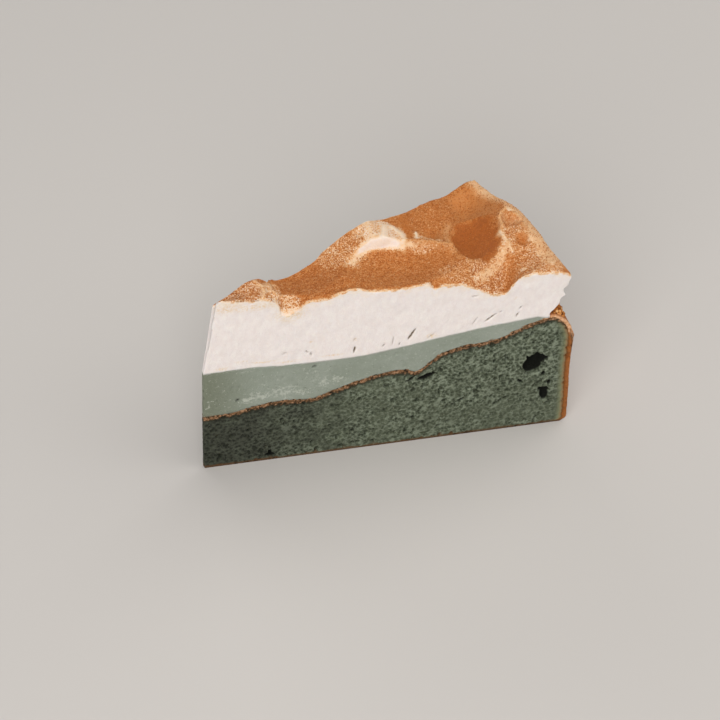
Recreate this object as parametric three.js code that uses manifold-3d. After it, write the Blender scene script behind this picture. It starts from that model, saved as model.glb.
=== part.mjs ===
// A slice of layered mugwort cake, standing as it was served.
//
// From below it is a green mugwort sponge with a browned crust, a band of pale
// mugwort cream that fills the hollow in the sponge's top, and a thick layer of
// whipped cream with spatula and spoon marks. The slice is a wedge: two flat
// knife cuts meet at a blunt tip, and the third side is the cake's round wall.
//
// Lengths are millimetres. +X runs from the tip to the wall along the middle of
// the slice, +Z is up, and the origin is the centre of the base. The cut that
// faces -Y is the near cut, and the other is the far cut.

import * as THREE from "three";
import Module from "manifold-3d";
import { mergeVertices } from "three/addons/utils/BufferGeometryUtils.js";

// ---- driving dimensions -------------------------------------------------------

const WEDGE = THREE.MathUtils.degToRad(27.5); // angle between the two knife cuts
const TIP_CUT = 2.5; // how far the blunt tip lies from the point where the cuts meet
const FAR_SHORTENING = 0.038; // the far cut is this share shorter than the near cut
const LAYER_GAP = 0.3; // clearance between two layers

const SPONGE_LENGTH = 102.1; // tip to the foot of the crust, along the near cut
const SPONGE_WALL = 32; // height of the crust wall, below its rounded shoulder
const SHOULDER_WIDTH = 7.6; // the rounded shoulder's reach inwards
const FOOT_ROUND = 1.4; // rounding at the foot of the crust
const FILLING_END = 88; // the mugwort cream thins out here, short of the wall
const CREAM_FOOT = 90.8; // where the whipped cream's undercut wall meets the sponge
const RIM_BEVEL = 5; // width of the rounded edge along that wall

// Heights along the near cut, as [distance from the tip, height].
const SPONGE_ROOF = [
  [-0.5, 21.3], [6, 21.6], [14, 23.4], [20, 24.1], [28, 23.4], [34, 25.6],
  [47, 29.9], [51.5, 30.5], [54.3, 30], [56.3, 29], [58, 29.9], [60.5, 32.6], [63, 34.9],
  [67, 36.4], [77, 37.7], [80, 38.7], [84, 41], [90, 43.5], [93, 43.9],
];
const FILLING_ROOF = [
  [-0.7, 38], [10, 38.3], [24, 37.5], [38, 37.5], [52, 39.2], [66, 41.6], [80, 43.5], [92, 44.6],
];
const CREAM_NEAR = [
  [0, 63.8], [3, 64.1], [12, 63.2], [15.4, 62.9], [19, 61.3], [30, 60.9], [45, 60.9],
  [64, 60.8], [82, 61], [96, 60.4],
];
// Heights of the whipped cream along the far cut, in the same way.
const CREAM_FAR = [
  [0, 59.6], [3.2, 61], [9, 61.6], [13, 62.6], [17, 61.8], [19, 60.2], [20.2, 58.2],
  [21.3, 58.7], [24, 57.3], [29.4, 56], [36, 56.5], [40, 58.6], [47.9, 60.8], [54.3, 61.2],
  [58.7, 59.5], [63.3, 57.8], [70, 56.3], [76.7, 55.9], [84.8, 54.3], [91.5, 55], [96, 55.2],
];
// Along the whipped cream's wall, each as [share across, value]: the distance of its
// lip from the tip, and how far the rounded edge drops there.
const CREAM_LIP = [[0, 95.3], [0.12, 94.7], [0.35, 94.5], [0.7, 94.9], [1, 95.9]];
const RIM_DROP = [[0, 1.5], [0.3, 2.2], [0.8, 2], [1, 1]];
// The crust wall, as [height, how far it stands back from its foot].
const CRUST_WALL = [[0, 1.4], [1.4, 0], [10, 0.6], [19, 1.6], [26, 2.2], [32, 2.5]];
// The whipped cream's wall, as [share of its height, how far it stands back from its lip].
const CREAM_WALL = [
  [0, 0], [0.13, -0.3], [0.22, -1], [0.45, -1.3], [0.52, -1.6], [0.65, -0.7], [0.75, -1.2],
  [0.84, -0.9], [0.94, -0.6], [1, 0],
];
// The tip's lean along the near cut, as [height, distance from the nominal tip].
const TIP_LEAN = [
  [0, 0], [12, -0.1], [24, -0.6], [38, -0.7], [46, 0], [56, 1.1], [63, 2.3], [66, 2.7],
];

// ---- helpers ------------------------------------------------------------------

const clamp = THREE.MathUtils.clamp;
const mix = THREE.MathUtils.lerp;
const ease = (x) => THREE.MathUtils.smoothstep(x, 0, 1);

// A smooth curve through the given points, with flat ends and no overshoot: a cubic
// Hermite curve whose slope is the harmonic mean of the slopes on either side.
function through(points) {
  const slopes = points.slice(1).map(([x, y], i) => (y - points[i][1]) / (x - points[i][0]));
  const tangent = points.map((_, i) => {
    const before = slopes[i - 1];
    const after = slopes[i];
    if (before === undefined || after === undefined || before * after <= 0) return 0;
    return (2 * before * after) / (before + after);
  });
  return (x) => {
    const last = points.length - 2;
    let i = points.findIndex(([px]) => px > x) - 1;
    if (i < 0) i = x < points[0][0] ? 0 : last;
    const [x0, y0] = points[i];
    const [x1, y1] = points[i + 1];
    const width = x1 - x0;
    const f = clamp((x - x0) / width, 0, 1);
    const bend = (2 * f - 3) * f * f;
    return (
      y0 * (1 + bend) - y1 * bend +
      tangent[i] * width * f * (1 - f) * (1 - f) - tangent[i + 1] * width * f * f * (1 - f)
    );
  };
}

const spongeRoofNear = through(SPONGE_ROOF);
const fillingRoofNear = through(FILLING_ROOF);
const creamNear = through(CREAM_NEAR);
const creamFar = through(CREAM_FAR);
const crustWall = through(CRUST_WALL);
const creamWall = through(CREAM_WALL);
const creamLip = through(CREAM_LIP);
const rimDrop = through(RIM_DROP);
const tipLean = through(TIP_LEAN);

// Plan position, in the slice's own axes: p along the near cut, q square to it.
// along is the distance from the tip, across runs from 0 at the near cut to 1 at the far.
function plan(along, across) {
  const radius = TIP_CUT + along * (1 - FAR_SHORTENING * across);
  const angle = WEDGE * across;
  return [radius * Math.cos(angle) - TIP_CUT, radius * Math.sin(angle)];
}

// ---- heights of the layers ----------------------------------------------------

// The sponge's roof rises towards the wall, and waves a little across the slice.
function spongeRoof(along, across) {
  return spongeRoofNear(along) + 0.9 * across * Math.sin(along / 13 + 3.4 * across);
}

function fillingRoof(along, across) {
  return fillingRoofNear(along) + 0.35 * across * Math.sin(along / 17 + 2 * across);
}

// Marks in the whipped cream's top. A dish is a round hollow. A power of 1 gives it a
// crisp rim, and 1.5 a soft one.
function dish(p, q, { at, size, turn = 0, depth, power = 1.5 }) {
  const c = Math.cos(turn);
  const s = Math.sin(turn);
  const dp = p - at[0];
  const dq = q - at[1];
  const x = (dp * c + dq * s) / size[0];
  const y = (dq * c - dp * s) / size[1];
  return -depth * Math.max(0, 1 - x * x - y * y) ** power;
}

// A ridge follows a line of points, as a rounded crest of the given width.
function ridge(p, q, { line, width, height }) {
  let nearest = Infinity;
  for (let i = 0; i + 1 < line.length; i++) {
    const [ax, ay] = line[i];
    const [bx, by] = line[i + 1];
    const dx = bx - ax;
    const dy = by - ay;
    const f = clamp(((p - ax) * dx + (q - ay) * dy) / (dx * dx + dy * dy), 0, 1);
    nearest = Math.min(nearest, Math.hypot(p - ax - f * dx, q - ay - f * dy));
  }
  return height * Math.exp(-((nearest / width) ** 2));
}

const SWIPES = [
  { at: [29, 8], size: [12, 6.5], turn: 0.35, depth: 1.4 }, // left end of the long swipe
  { at: [52, 12], size: [17, 11], turn: 0.03, depth: 3.7, power: 1.25 }, // its main part
];
const DISHES = [
  { at: [74.2, 17], size: [6.7, 10], turn: -0.3, depth: 4.6, power: 1 }, // a spoon's
  { at: [78.4, 31.5], size: [7.5, 9], turn: -0.2, depth: 1.7 }, // far corner
  { at: [84.8, 21], size: [3, 2.8], depth: 2.3 },
  { at: [85.8, 13.6], size: [2.4, 2.4], depth: 1.6 },
  { at: [63.9, 22.2], size: [2.8, 2.9], depth: 0.9 },
  { at: [43.7, 22.6], size: [1.9, 2.6], depth: 0.5 },
  { at: [49.3, 23.1], size: [1.3, 2.4], turn: -0.25, depth: 0.5 },
];
const RIDGES = [
  // The lip between the spoon's hollow and the rim, and the crest after it.
  {
    line: [[85.1, 27.3], [84.1, 24.7], [82.6, 23.4], [81.6, 21.6], [81.4, 18.2], [80, 16.5]],
    width: 0.8,
    height: 0.7,
  },
  { line: [[80.3, 16.2], [81.2, 13.4], [82.2, 10.2]], width: 0.6, height: 0.6 },
  // The soft ridge from there to the near cut, left of the valley.
  { line: [[81.5, 12.3], [78.9, 9], [76.6, 6.6], [72.4, 3.6]], width: 1.3, height: 0.4 },
  // Crests on the torn lump, and the low ones to its right.
  { line: [[46.3, 25.4], [46.5, 22.6], [47.3, 19.7]], width: 0.8, height: 0.35 },
  { line: [[51.5, 24.6], [50.6, 21.8], [50, 19.6]], width: 0.9, height: 0.35 },
  { line: [[53.3, 24.6], [55.2, 22], [55.5, 19.2], [54.3, 17.6]], width: 0.9, height: 0.45 },
  { line: [[59.5, 22.6], [59.2, 20.6], [59.4, 18.6]], width: 0.8, height: 0.7 },
  { line: [[62.2, 21], [63, 18.6], [65, 17]], width: 0.8, height: 0.5 },
  { line: [[57.1, 17.7], [60.6, 17], [63.6, 15.8], [66.4, 14.2]], width: 1.5, height: 1.8 },
  // The tip's crest, and a low bump behind it.
  { line: [[13.4, 7.1], [14.9, 5.1], [15, 2.3], [14.4, 0.4]], width: 0.8, height: 0.7 },
  { line: [[17.6, 8.4], [17.1, 5.8], [17.8, 2.9]], width: 1.2, height: 0.9 },
];

// The front of the raised cream behind the long swipe, as [p, q], and how wide
// its slope is: steep where the cream was torn up, gentle on either side.
const TORN_EDGE = [
  [0, 0.6], [10, 2.8], [18, 5], [28, 8.6], [37, 12.6], [43, 16.6], [47, 18], [55.5, 18.6],
  [60, 18], [66, 17], [72, 21], [84, 33], [96, 36],
];
const SLOPE_WIDTH = [
  [0, 1.2], [10, 5.6], [18, 8.4], [28, 12], [36, 10], [39.5, 4], [42.5, 1.7], [55.5, 1.5],
  [60, 7], [72, 20], [96, 21],
];
// Bumps and dips along the near cut's upper edge, as [distance from the tip, height].
// The deepest is a notch by the tip, where the knife took a flake of cream away.
const EDGE_BUMPS = [
  [16.4, 0], [18, -0.8], [19, -4.2], [21, -4.9], [23.2, -3.7], [24.8, -1.4], [26.6, -0.5],
  [30.5, 0], [34.2, 1.6], [37.9, 2.4], [41.6, 0.8], [48.5, 0.3], [56, 0.7], [57.3, 0.5],
  [58.8, -1.3], [60.8, -0.5], [64.5, -0.2], [67, 0],
];
// The valley by the wall, as [distance from its bottom, depth at the near cut].
const VALLEY = [[-13.5, 0], [-10.5, 1.8], [-5.6, 4.3], [0, 6.3], [1.2, 4], [3.4, 1.2], [6, 0]];
const VALLEY_FOOT = 78; // the valley's bottom, along the near cut
const VALLEY_SKEW = 0.28; // and how far it moves on with each millimetre inwards
const tornEdge = through(TORN_EDGE);
const slopeWidth = through(SLOPE_WIDTH);
const edgeBumps = through(EDGE_BUMPS);
const valley = through(VALLEY);

// The valley's right wall is steep at the near cut and gets wider inwards, its left
// side gets narrower, and it fades out 16 mm in.
function valleyDepth(p, q) {
  const offset = p - VALLEY_FOOT - VALLEY_SKEW * q;
  const width = offset > 0 ? 1 + 0.25 * q : clamp(1 - q / 20, 0.3, 1);
  return valley(offset / width) * (1 - 0.6 * ease(q / 14)) * (1 - ease((q - 7) / 9));
}

// The near part, with its swipes and the bumps that fade out within 3 mm, gives way to
// the far profile over the torn edge's slope. The other marks fade out at the far cut.
function creamRoof(along, across) {
  const [p, q] = plan(along, across);
  let front = creamNear(along) + edgeBumps(p) * (1 - ease(q / 3));
  for (const mark of SWIPES) front += dish(p, q, mark);
  const raised = ease((q - tornEdge(p)) / slopeWidth(p) + 0.5);
  let marks = 0;
  for (const mark of DISHES) marks += dish(p, q, mark);
  for (const mark of RIDGES) marks += ridge(p, q, mark);
  const z = mix(front, creamFar(along), raised) - valleyDepth(p, q);
  const fromLip = clamp((creamLip(across) - along) / RIM_BEVEL, 0, 1);
  return z + marks * (1 - ease((across - 0.9) / 0.1)) - rimDrop(across) * (1 - fromLip) ** 2;
}

// ---- solids -------------------------------------------------------------------

// A block bent into shape: the six faces of a box of nu x nv x nw cells, each corner
// moved by point(i, j, k), which gives [along, across, height]. The result is closed.
function block(nu, nv, nw, point) {
  const half = WEDGE / 2;
  const positions = [];
  const index = [];
  const known = new Map();
  const corner = (i, j, k) => {
    const key = (i * (nv + 1) + j) * (nw + 1) + k;
    if (!known.has(key)) {
      const [along, across, z] = point(i, j, k);
      const [p, q] = plan(along, across);
      known.set(key, positions.length / 3);
      positions.push(
        p * Math.cos(half) + q * Math.sin(half),
        q * Math.cos(half) - p * Math.sin(half),
        z,
      );
    }
    return known.get(key);
  };
  // One face: cells counted by a and b, with turned true where a x b points inwards.
  const face = (na, nb, at, turned) => {
    for (let a = 0; a < na; a++) {
      for (let b = 0; b < nb; b++) {
        const ring = [at(a, b), at(a + 1, b), at(a + 1, b + 1), at(a, b + 1)];
        if (turned) ring.reverse();
        index.push(ring[0], ring[1], ring[2], ring[0], ring[2], ring[3]);
      }
    }
  };
  face(nu, nv, (a, b) => corner(a, b, nw), false); // top
  face(nu, nv, (a, b) => corner(a, b, 0), true); // underside
  face(nu, nw, (a, b) => corner(a, 0, b), false); // near cut
  face(nu, nw, (a, b) => corner(a, nv, b), true); // far cut
  face(nv, nw, (a, b) => corner(nu, a, b), false); // wall
  face(nv, nw, (a, b) => corner(0, a, b), true); // tip
  const geometry = new THREE.BufferGeometry();
  geometry.setAttribute("position", new THREE.Float32BufferAttribute(positions, 3));
  geometry.setIndex(index);
  return geometry;
}

// Distances from the tip shared by every layer, so that two layers that meet have
// their corners at the same places, then more of them out to the layer's own end.
const SHARED_STEPS = 50;
function stations(tip, end, extra, spread) {
  const shared = Array.from({ length: SHARED_STEPS + 1 }, (_, i) => mix(tip, FILLING_END, i / SHARED_STEPS));
  const own = Array.from({ length: extra }, (_, i) => mix(FILLING_END, end, spread((i + 1) / extra)));
  return shared.concat(own);
}
const evenly = (f) => f;
const closerAtEnd = (f) => Math.sin((f * Math.PI) / 2);

// Sponge: a flat underside, the crust wall, and a roof that ends in a rounded shoulder.
function spongeGeometry() {
  const extra = 8;
  const rows = [0, FOOT_ROUND, 10, 18, 25, SPONGE_WALL];
  const nu = SHARED_STEPS + extra;
  const nv = 8;
  const nw = rows.length - 1;
  const wallTop = SPONGE_LENGTH - crustWall(SPONGE_WALL);
  const above = stations(tipLean(21), wallTop, extra, closerAtEnd);
  const below = stations(0, SPONGE_LENGTH - FOOT_ROUND, extra, closerAtEnd);
  return block(nu, nv, nw, (i, j, k) => {
    const across = j / nv;
    const share = rows[k] / SPONGE_WALL;
    const inShoulder = clamp(1 - (wallTop - above[i]) / SHOULDER_WIDTH, 0, 1);
    const roof = spongeRoof(above[i], across);
    const top = mix(SPONGE_WALL, roof, Math.sqrt(1 - inShoulder * inShoulder));
    const wall = SPONGE_LENGTH - crustWall(rows[k]);
    const bulge = (wall - mix(below[nu], above[nu], share)) * ease((i - SHARED_STEPS) / extra);
    return [mix(below[i], above[i], share) + bulge, across, top * share];
  });
}

// Mugwort cream: lies on the sponge's roof, flat on top, and thins out by the wall.
function fillingGeometry() {
  const nv = 8;
  const nw = 2;
  const below = stations(tipLean(21), FILLING_END, 0, evenly);
  const above = stations(tipLean(38), FILLING_END, 0, evenly);
  return block(SHARED_STEPS, nv, nw, (i, j, k) => {
    const across = j / nv;
    const share = k / nw;
    const floor = spongeRoof(below[i], across) + LAYER_GAP;
    const roof = fillingRoof(above[i], across);
    return [mix(below[i], above[i], share), across, mix(floor, roof, share)];
  });
}

// Whipped cream: lies on the mugwort cream, with a leaning tip and an undercut wall.
function creamGeometry() {
  const extra = 5;
  const rows = [0, 0.2, 0.5, 0.65, 0.85, 1];
  const nu = SHARED_STEPS + extra;
  const nv = 28;
  const nw = rows.length - 1;
  const below = stations(tipLean(38), CREAM_FOOT, extra, evenly);
  const above = Array.from({ length: nv + 1 }, (_, j) =>
    stations(tipLean(64), creamLip(j / nv), extra, evenly),
  );
  return block(nu, nv, nw, (i, j, k) => {
    const across = j / nv;
    const share = rows[k];
    const floor = fillingRoof(below[i], across) + LAYER_GAP;
    const roof = creamRoof(above[j][i], across);
    const bulge = -creamWall(share) * ease((i - SHARED_STEPS) / extra);
    return [mix(below[i], above[j][i], share) + bulge, across, mix(floor, roof, share)];
  });
}

// ---- holes in the sponge ------------------------------------------------------

// Bubbles that the knife opened in the near cut, as ellipsoids: how far along and up
// the cut, half sizes along it, up it and into the sponge, and the turn on the cut.
const BUBBLES = [
  { along: 89.4, up: 26, size: [4.1, 2.8, 3.6], turn: 1.35 },
  { along: 94.2, up: 13.1, size: [1.4, 2.6, 2.2], turn: 0.2 },
  { along: 59.5, up: 26, size: [2.8, 1.1, 2], turn: 0.4 },
  { along: 17.9, up: 2, size: [1.5, 0.9, 1.6], turn: -0.2 },
];

function solidFrom(wasm, geometry) {
  const bare = new THREE.BufferGeometry();
  bare.setAttribute("position", geometry.getAttribute("position"));
  bare.setIndex(geometry.getIndex());
  const merged = mergeVertices(bare, 1e-3);
  return new wasm.Manifold(
    new wasm.Mesh({
      numProp: 3,
      vertProperties: merged.getAttribute("position").array,
      triVerts: new Uint32Array(merged.getIndex().array),
    }),
  );
}

function geometryFrom(solid) {
  const mesh = solid.getMesh();
  const geometry = new THREE.BufferGeometry();
  geometry.setAttribute("position", new THREE.BufferAttribute(mesh.vertProperties, 3));
  geometry.setIndex(new THREE.BufferAttribute(mesh.triVerts, 1));
  return geometry;
}

async function withBubbles(geometry) {
  const wasm = await Module();
  wasm.setup();
  let solid = solidFrom(wasm, geometry);
  const half = WEDGE / 2;
  for (const { along, up, size, turn } of BUBBLES) {
    const bubble = new THREE.IcosahedronGeometry(1, 1);
    bubble.scale(size[0], size[2], size[1]);
    bubble.rotateY(-turn);
    bubble.translate(along, 0, up);
    bubble.rotateZ(-half);
    solid = solid.subtract(solidFrom(wasm, bubble));
  }
  return geometryFrom(solid);
}

// ---- the slice ----------------------------------------------------------------

function layer(name, geometry, colour, roughness) {
  geometry.computeVertexNormals();
  const material = new THREE.MeshStandardMaterial({ color: colour, roughness, metalness: 0 });
  const mesh = new THREE.Mesh(geometry, material);
  mesh.name = name;
  return mesh;
}

const slice = new THREE.Group();
slice.add(layer("sponge", await withBubbles(spongeGeometry()), 0x585e4d, 0.9));
slice.add(layer("mugwort_cream", fillingGeometry(), 0x8d9386, 0.45));
slice.add(layer("whipped_cream", creamGeometry(), 0xe7ddd8, 0.6));

// The origin is the middle of the slice's box, at the base.
const box = new THREE.Box3().setFromObject(slice);
const middle = box.getCenter(new THREE.Vector3());
for (const mesh of slice.children) mesh.geometry.translate(-middle.x, -middle.y, -box.min.z);

export default slice;
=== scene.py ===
# %% [markdown]
# # A slice of mugwort cake
# The real slice is a wedge from a tall round cake. From below it is a green mugwort
# sponge with a browned crust, a band of smooth mugwort cream that fills the hollow in
# the sponge's top, and a thick layer of whipped cream. Spatula and spoon marks cross
# the cream, and roasted soybean powder covers it.
#
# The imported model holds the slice's sizes, so it is loaded first and never changed.
# Each layer could get its look from a texture alone, but the crumb, the torn cream and
# the powder all have real depth. So each layer is made again here as a fine mesh of
# the same form, and stands for its plain solid.

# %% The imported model
import math

import bpy
import numpy as np
from mathutils import Matrix, Vector


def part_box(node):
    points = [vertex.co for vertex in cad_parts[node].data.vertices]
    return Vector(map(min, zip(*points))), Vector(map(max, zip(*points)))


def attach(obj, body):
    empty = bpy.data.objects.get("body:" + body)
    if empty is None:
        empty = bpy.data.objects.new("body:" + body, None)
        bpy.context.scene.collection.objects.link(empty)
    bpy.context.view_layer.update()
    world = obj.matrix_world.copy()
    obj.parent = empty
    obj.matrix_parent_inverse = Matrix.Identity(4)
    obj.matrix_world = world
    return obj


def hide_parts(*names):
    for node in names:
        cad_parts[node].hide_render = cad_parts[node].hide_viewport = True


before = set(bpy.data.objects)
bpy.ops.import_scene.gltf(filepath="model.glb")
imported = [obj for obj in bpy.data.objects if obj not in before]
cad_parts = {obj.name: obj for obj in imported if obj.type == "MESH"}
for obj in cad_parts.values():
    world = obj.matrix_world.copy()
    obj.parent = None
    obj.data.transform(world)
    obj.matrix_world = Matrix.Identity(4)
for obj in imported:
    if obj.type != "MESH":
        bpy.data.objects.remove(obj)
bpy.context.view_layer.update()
print("nodes:", sorted(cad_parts))

# %% [markdown]
# ## The slice's own axes
# A wedge is easiest to describe by how far a point lies from the tip and how far it is
# across, from the near cut to the far cut. Shapes are worked out in millimetres in
# axes that start at the tip: p runs along the near cut, q squarely away from it, z up.
# At the end each point is turned by half the wedge, so that +X runs down the middle of
# the slice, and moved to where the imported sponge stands.

# %% Driving sizes, in millimetres
MM = 0.001
WEDGE = math.radians(27.5)  # angle between the two knife cuts
TIP_CUT = 2.5  # from the blunt tip to the point where the cuts would meet
FAR_SHORTENING = 0.038  # the far cut is this share shorter than the near cut
SPONGE_LENGTH = 102.1  # tip to the foot of the crust, along the near cut
SPONGE_WALL = 32  # height of the crust wall, below its rounded shoulder
SHOULDER_WIDTH = 7.6  # the shoulder's reach inwards
SHOULDER_TOP = 43.9  # where the shoulder meets the roof
FOOT_ROUND = 1.4  # rounding at the foot of the crust
FILLING_END = 88  # the mugwort cream begins to thin out here
CREAM_FOOT = 90.8  # where the whipped cream's undercut wall meets the sponge
RIM_BEVEL = 5  # width of the rounded edge along that wall
print("near cut:", SPONGE_LENGTH, "mm, wedge:", round(math.degrees(WEDGE), 1), "degrees")


# %% Curves through a few points
def ease(x):
    """0 up to 0, 1 from 1 on, and x squared times (3 - 2x) between them."""
    x = np.clip(x, 0, 1)
    return x * x * (3 - 2 * x)


def mix(first, second, share):
    """The value that lies the given share of the way from first to second."""
    return first + (second - first) * share


def through(points):
    """A smooth curve through (x, y) points, as a function of an array of x.

    Between two points it is a cubic whose slope at a point is the harmonic mean of
    the slopes on both sides, or 0 at a turn or an end, so that it never overshoots.
    """
    x, y = np.array(points, float).T
    slopes = np.diff(y) / np.diff(x)
    same = slopes[:-1] * slopes[1:] > 0
    both = np.where(same, slopes[:-1] + slopes[1:], 1)
    inner = np.where(same, 2 * slopes[:-1] * slopes[1:] / both, 0)
    tangent = np.concatenate([[0], inner, [0]])

    def curve(at):
        at = np.clip(at, x[0], x[-1])
        n = np.clip(np.searchsorted(x, at, side="right") - 1, 0, len(x) - 2)
        width = x[n + 1] - x[n]
        f = (at - x[n]) / width
        bend = (2 * f - 3) * f * f
        turns = tangent[n] * (1 - f) - tangent[n + 1] * f
        return y[n] * (1 + bend) - y[n + 1] * bend + turns * width * f * (1 - f)

    return curve


print("halfway from (0, 0) to (2, 4):", float(through([(0, 0), (2, 4)])(1.0)))


# %% From the slice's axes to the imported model's frame
def plan(along, across):
    """(p, q) of a point: its distance from where the cuts would meet is TIP_CUT more
    than along, a little shortened towards the far cut, and its angle is the given
    share of the wedge."""
    radius = TIP_CUT + along * (1 - FAR_SHORTENING * across)
    angle = WEDGE * across
    return radius * np.cos(angle) - TIP_CUT, radius * np.sin(angle)


def from_tip(p, q):
    """Distance of a point from the blunt tip, away from where the cuts would meet."""
    return np.hypot(p + TIP_CUT, q) - TIP_CUT


def turned(p, q):
    """(x, y) once the near cut has been turned by half the wedge."""
    c, s = math.cos(WEDGE / 2), math.sin(WEDGE / 2)
    return p * c + q * s, q * c - p * s


# The wall's middle touches the +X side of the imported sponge's box, and the foot of
# its near corner the -Y side. That places the tip.
sponge_low, sponge_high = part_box("sponge")
foot_x, foot_y = turned(*plan(SPONGE_LENGTH, np.linspace(0, 1, 9)))
TIP_X = sponge_high.x / MM - foot_x.max()
TIP_Y = sponge_low.y / MM - foot_y.min()
print(f"the tip stands at x {TIP_X:.2f} mm, y {TIP_Y:.2f} mm")


def to_frame(points):
    """Slice axes in millimetres to the frame's metres."""
    x, y = turned(points[:, 0], points[:, 1])
    return np.stack([x + TIP_X, y + TIP_Y, points[:, 2]], -1) * MM


# %% [markdown]
# ## The heights of the layers
# The near cut shows each layer's height all along it, so each roof is a smooth curve
# through a few heights on that cut. The sponge has risen at the wall and sunk towards
# the middle of the cake. The mugwort cream levels it, and stops short of the wall.

# %% Profiles on the cuts, as (distance from the tip, height)
SPONGE_ROOF = [
    (-0.5, 21.3), (6, 21.6), (14, 23.4), (20, 24.1), (28, 23.4), (34, 25.6),
    (47, 29.9), (51.5, 30.5), (54.3, 30), (56.3, 29), (58, 29.9), (60.5, 32.6), (63, 34.9),
    (67, 36.4), (77, 37.7), (80, 38.7), (84, 41), (90, 43.5), (93, 43.9),
]
FILLING_ROOF = [
    (-0.7, 38), (10, 38.3), (24, 37.5), (38, 37.5), (52, 39.2), (66, 41.6), (80, 43.5),
    (92, 44.6),
]
CREAM_NEAR = [
    (0, 63.8), (3, 64.1), (12, 63.2), (15.4, 62.9), (19, 61.3), (30, 60.9), (45, 60.9),
    (64, 60.8), (82, 61), (96, 60.4),
]
CREAM_FAR = [
    (0, 59.6), (3.2, 61), (9, 61.6), (13, 62.6), (17, 61.8), (19, 60.2), (20.2, 58.2),
    (21.3, 58.7), (24, 57.3), (29.4, 56), (36, 56.5), (40, 58.6), (47.9, 60.8),
    (54.3, 61.2), (58.7, 59.5), (63.3, 57.8), (70, 56.3), (76.7, 55.9), (84.8, 54.3),
    (91.5, 55), (96, 55.2),
]
# Along the cream's wall, each as (share across, value): the distance of its lip from
# the tip, and how far the rounded edge drops there.
CREAM_LIP = [(0, 95.3), (0.12, 94.7), (0.35, 94.5), (0.7, 94.9), (1, 95.9)]
RIM_DROP = [(0, 1.5), (0.3, 2.2), (0.8, 2), (1, 1)]
# Walls, as (height or share of it, how far the wall stands back).
CRUST_WALL = [(0, 1.4), (1.4, 0), (10, 0.6), (19, 1.6), (26, 2.2), (32, 2.5)]
CREAM_WALL = [
    (0, 0), (0.13, -0.3), (0.22, -1), (0.45, -1.3), (0.52, -1.6), (0.65, -0.7), (0.75, -1.2),
    (0.84, -0.9), (0.94, -0.6), (1, 0),
]
# The tip's lean, as (height, distance from the nominal tip).
TIP_LEAN = [
    (0, 0), (12, -0.1), (24, -0.6), (38, -0.7), (46, 0), (56, 1.1), (63, 2.3), (66, 2.7),
]

sponge_roof_near = through(SPONGE_ROOF)
filling_roof_near = through(FILLING_ROOF)
cream_near = through(CREAM_NEAR)
cream_far = through(CREAM_FAR)
crust_wall = through(CRUST_WALL)
cream_wall = through(CREAM_WALL)
cream_lip = through(CREAM_LIP)
rim_drop = through(RIM_DROP)
tip_lean = through(TIP_LEAN)
print("highest point along the near cut:", max(z for _, z in CREAM_NEAR), "mm")


# %% The sponge's roof, and what lies on it
THIN_OUT = 3.5  # the mugwort cream thins to nothing over this length


def sponge_roof(along, across):
    """Height of the sponge: its profile, with a slow wave that grows across."""
    return sponge_roof_near(along) + 0.9 * across * np.sin(along / 13 + 3.4 * across)


def filling_roof(along, across):
    """Height of the mugwort cream, brought down to the sponge near the wall."""
    level = filling_roof_near(along) + 0.35 * across * np.sin(along / 17 + 2 * across)
    bare = sponge_roof(along, across)
    return mix(bare, level, ease((FILLING_END + THIN_OUT - along) / THIN_OUT))


middle = np.array([20.0, 50.0, 80.0])
print("sponge, then mugwort cream, halfway across:")
print(sponge_roof(middle, 0.5).round(1), filling_roof(middle, 0.5).round(1))

# %% [markdown]
# ## Marks in the whipped cream
# A spatula pulled the cream into one long swipe beside the near cut and tore a raised
# lump up behind it. A spoon left a round hollow, and fingertip-sized hollows follow by
# the wall. They could be sculpted by hand, but here the top is a height field: two
# profiles, one near and one far, meet in a slope, and each mark adds or takes a little.


# %% What a mark does to the height
def in_ellipse(p, q, at, size, turn=0.0):
    """1 - r squared, where r is the distance from an ellipse's middle in units of its
    two half sizes: 1 at the middle, 0 on the rim and negative outside."""
    c, s = math.cos(turn), math.sin(turn)
    x = ((p - at[0]) * c + (q - at[1]) * s) / size[0]
    y = ((q - at[1]) * c - (p - at[0]) * s) / size[1]
    return 1 - x * x - y * y


def dish(p, q, at, size, depth, turn=0.0, power=1.5):
    """A hollow in plan: depth times (1 - r squared) to the given power, inside an
    ellipse. A power of 1 gives it a crisp rim, and 1.5 a soft one."""
    return -depth * np.maximum(0, in_ellipse(p, q, at, size, turn)) ** power


def distance_to_line(p, q, line):
    """The least distance from each point to a line of straight stretches."""
    nearest = np.full(np.shape(p), np.inf)
    for (ax, ay), (bx, by) in zip(line[:-1], line[1:]):
        dx, dy = bx - ax, by - ay
        f = np.clip(((p - ax) * dx + (q - ay) * dy) / (dx * dx + dy * dy), 0, 1)
        nearest = np.minimum(nearest, np.hypot(p - ax - f * dx, q - ay - f * dy))
    return nearest


def ridge(p, q, line, width, height):
    """A rounded crest along a line: height times e to the minus (distance / width)
    squared."""
    return height * np.exp(-((distance_to_line(p, q, line) / width) ** 2))


middle_and_rim = dish(np.array([0.0, 1.0]), np.zeros(2), (0, 0), (1, 1), 2)
print("a hollow 2 mm deep, at its middle and on its rim:", middle_and_rim.round(2))


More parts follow.
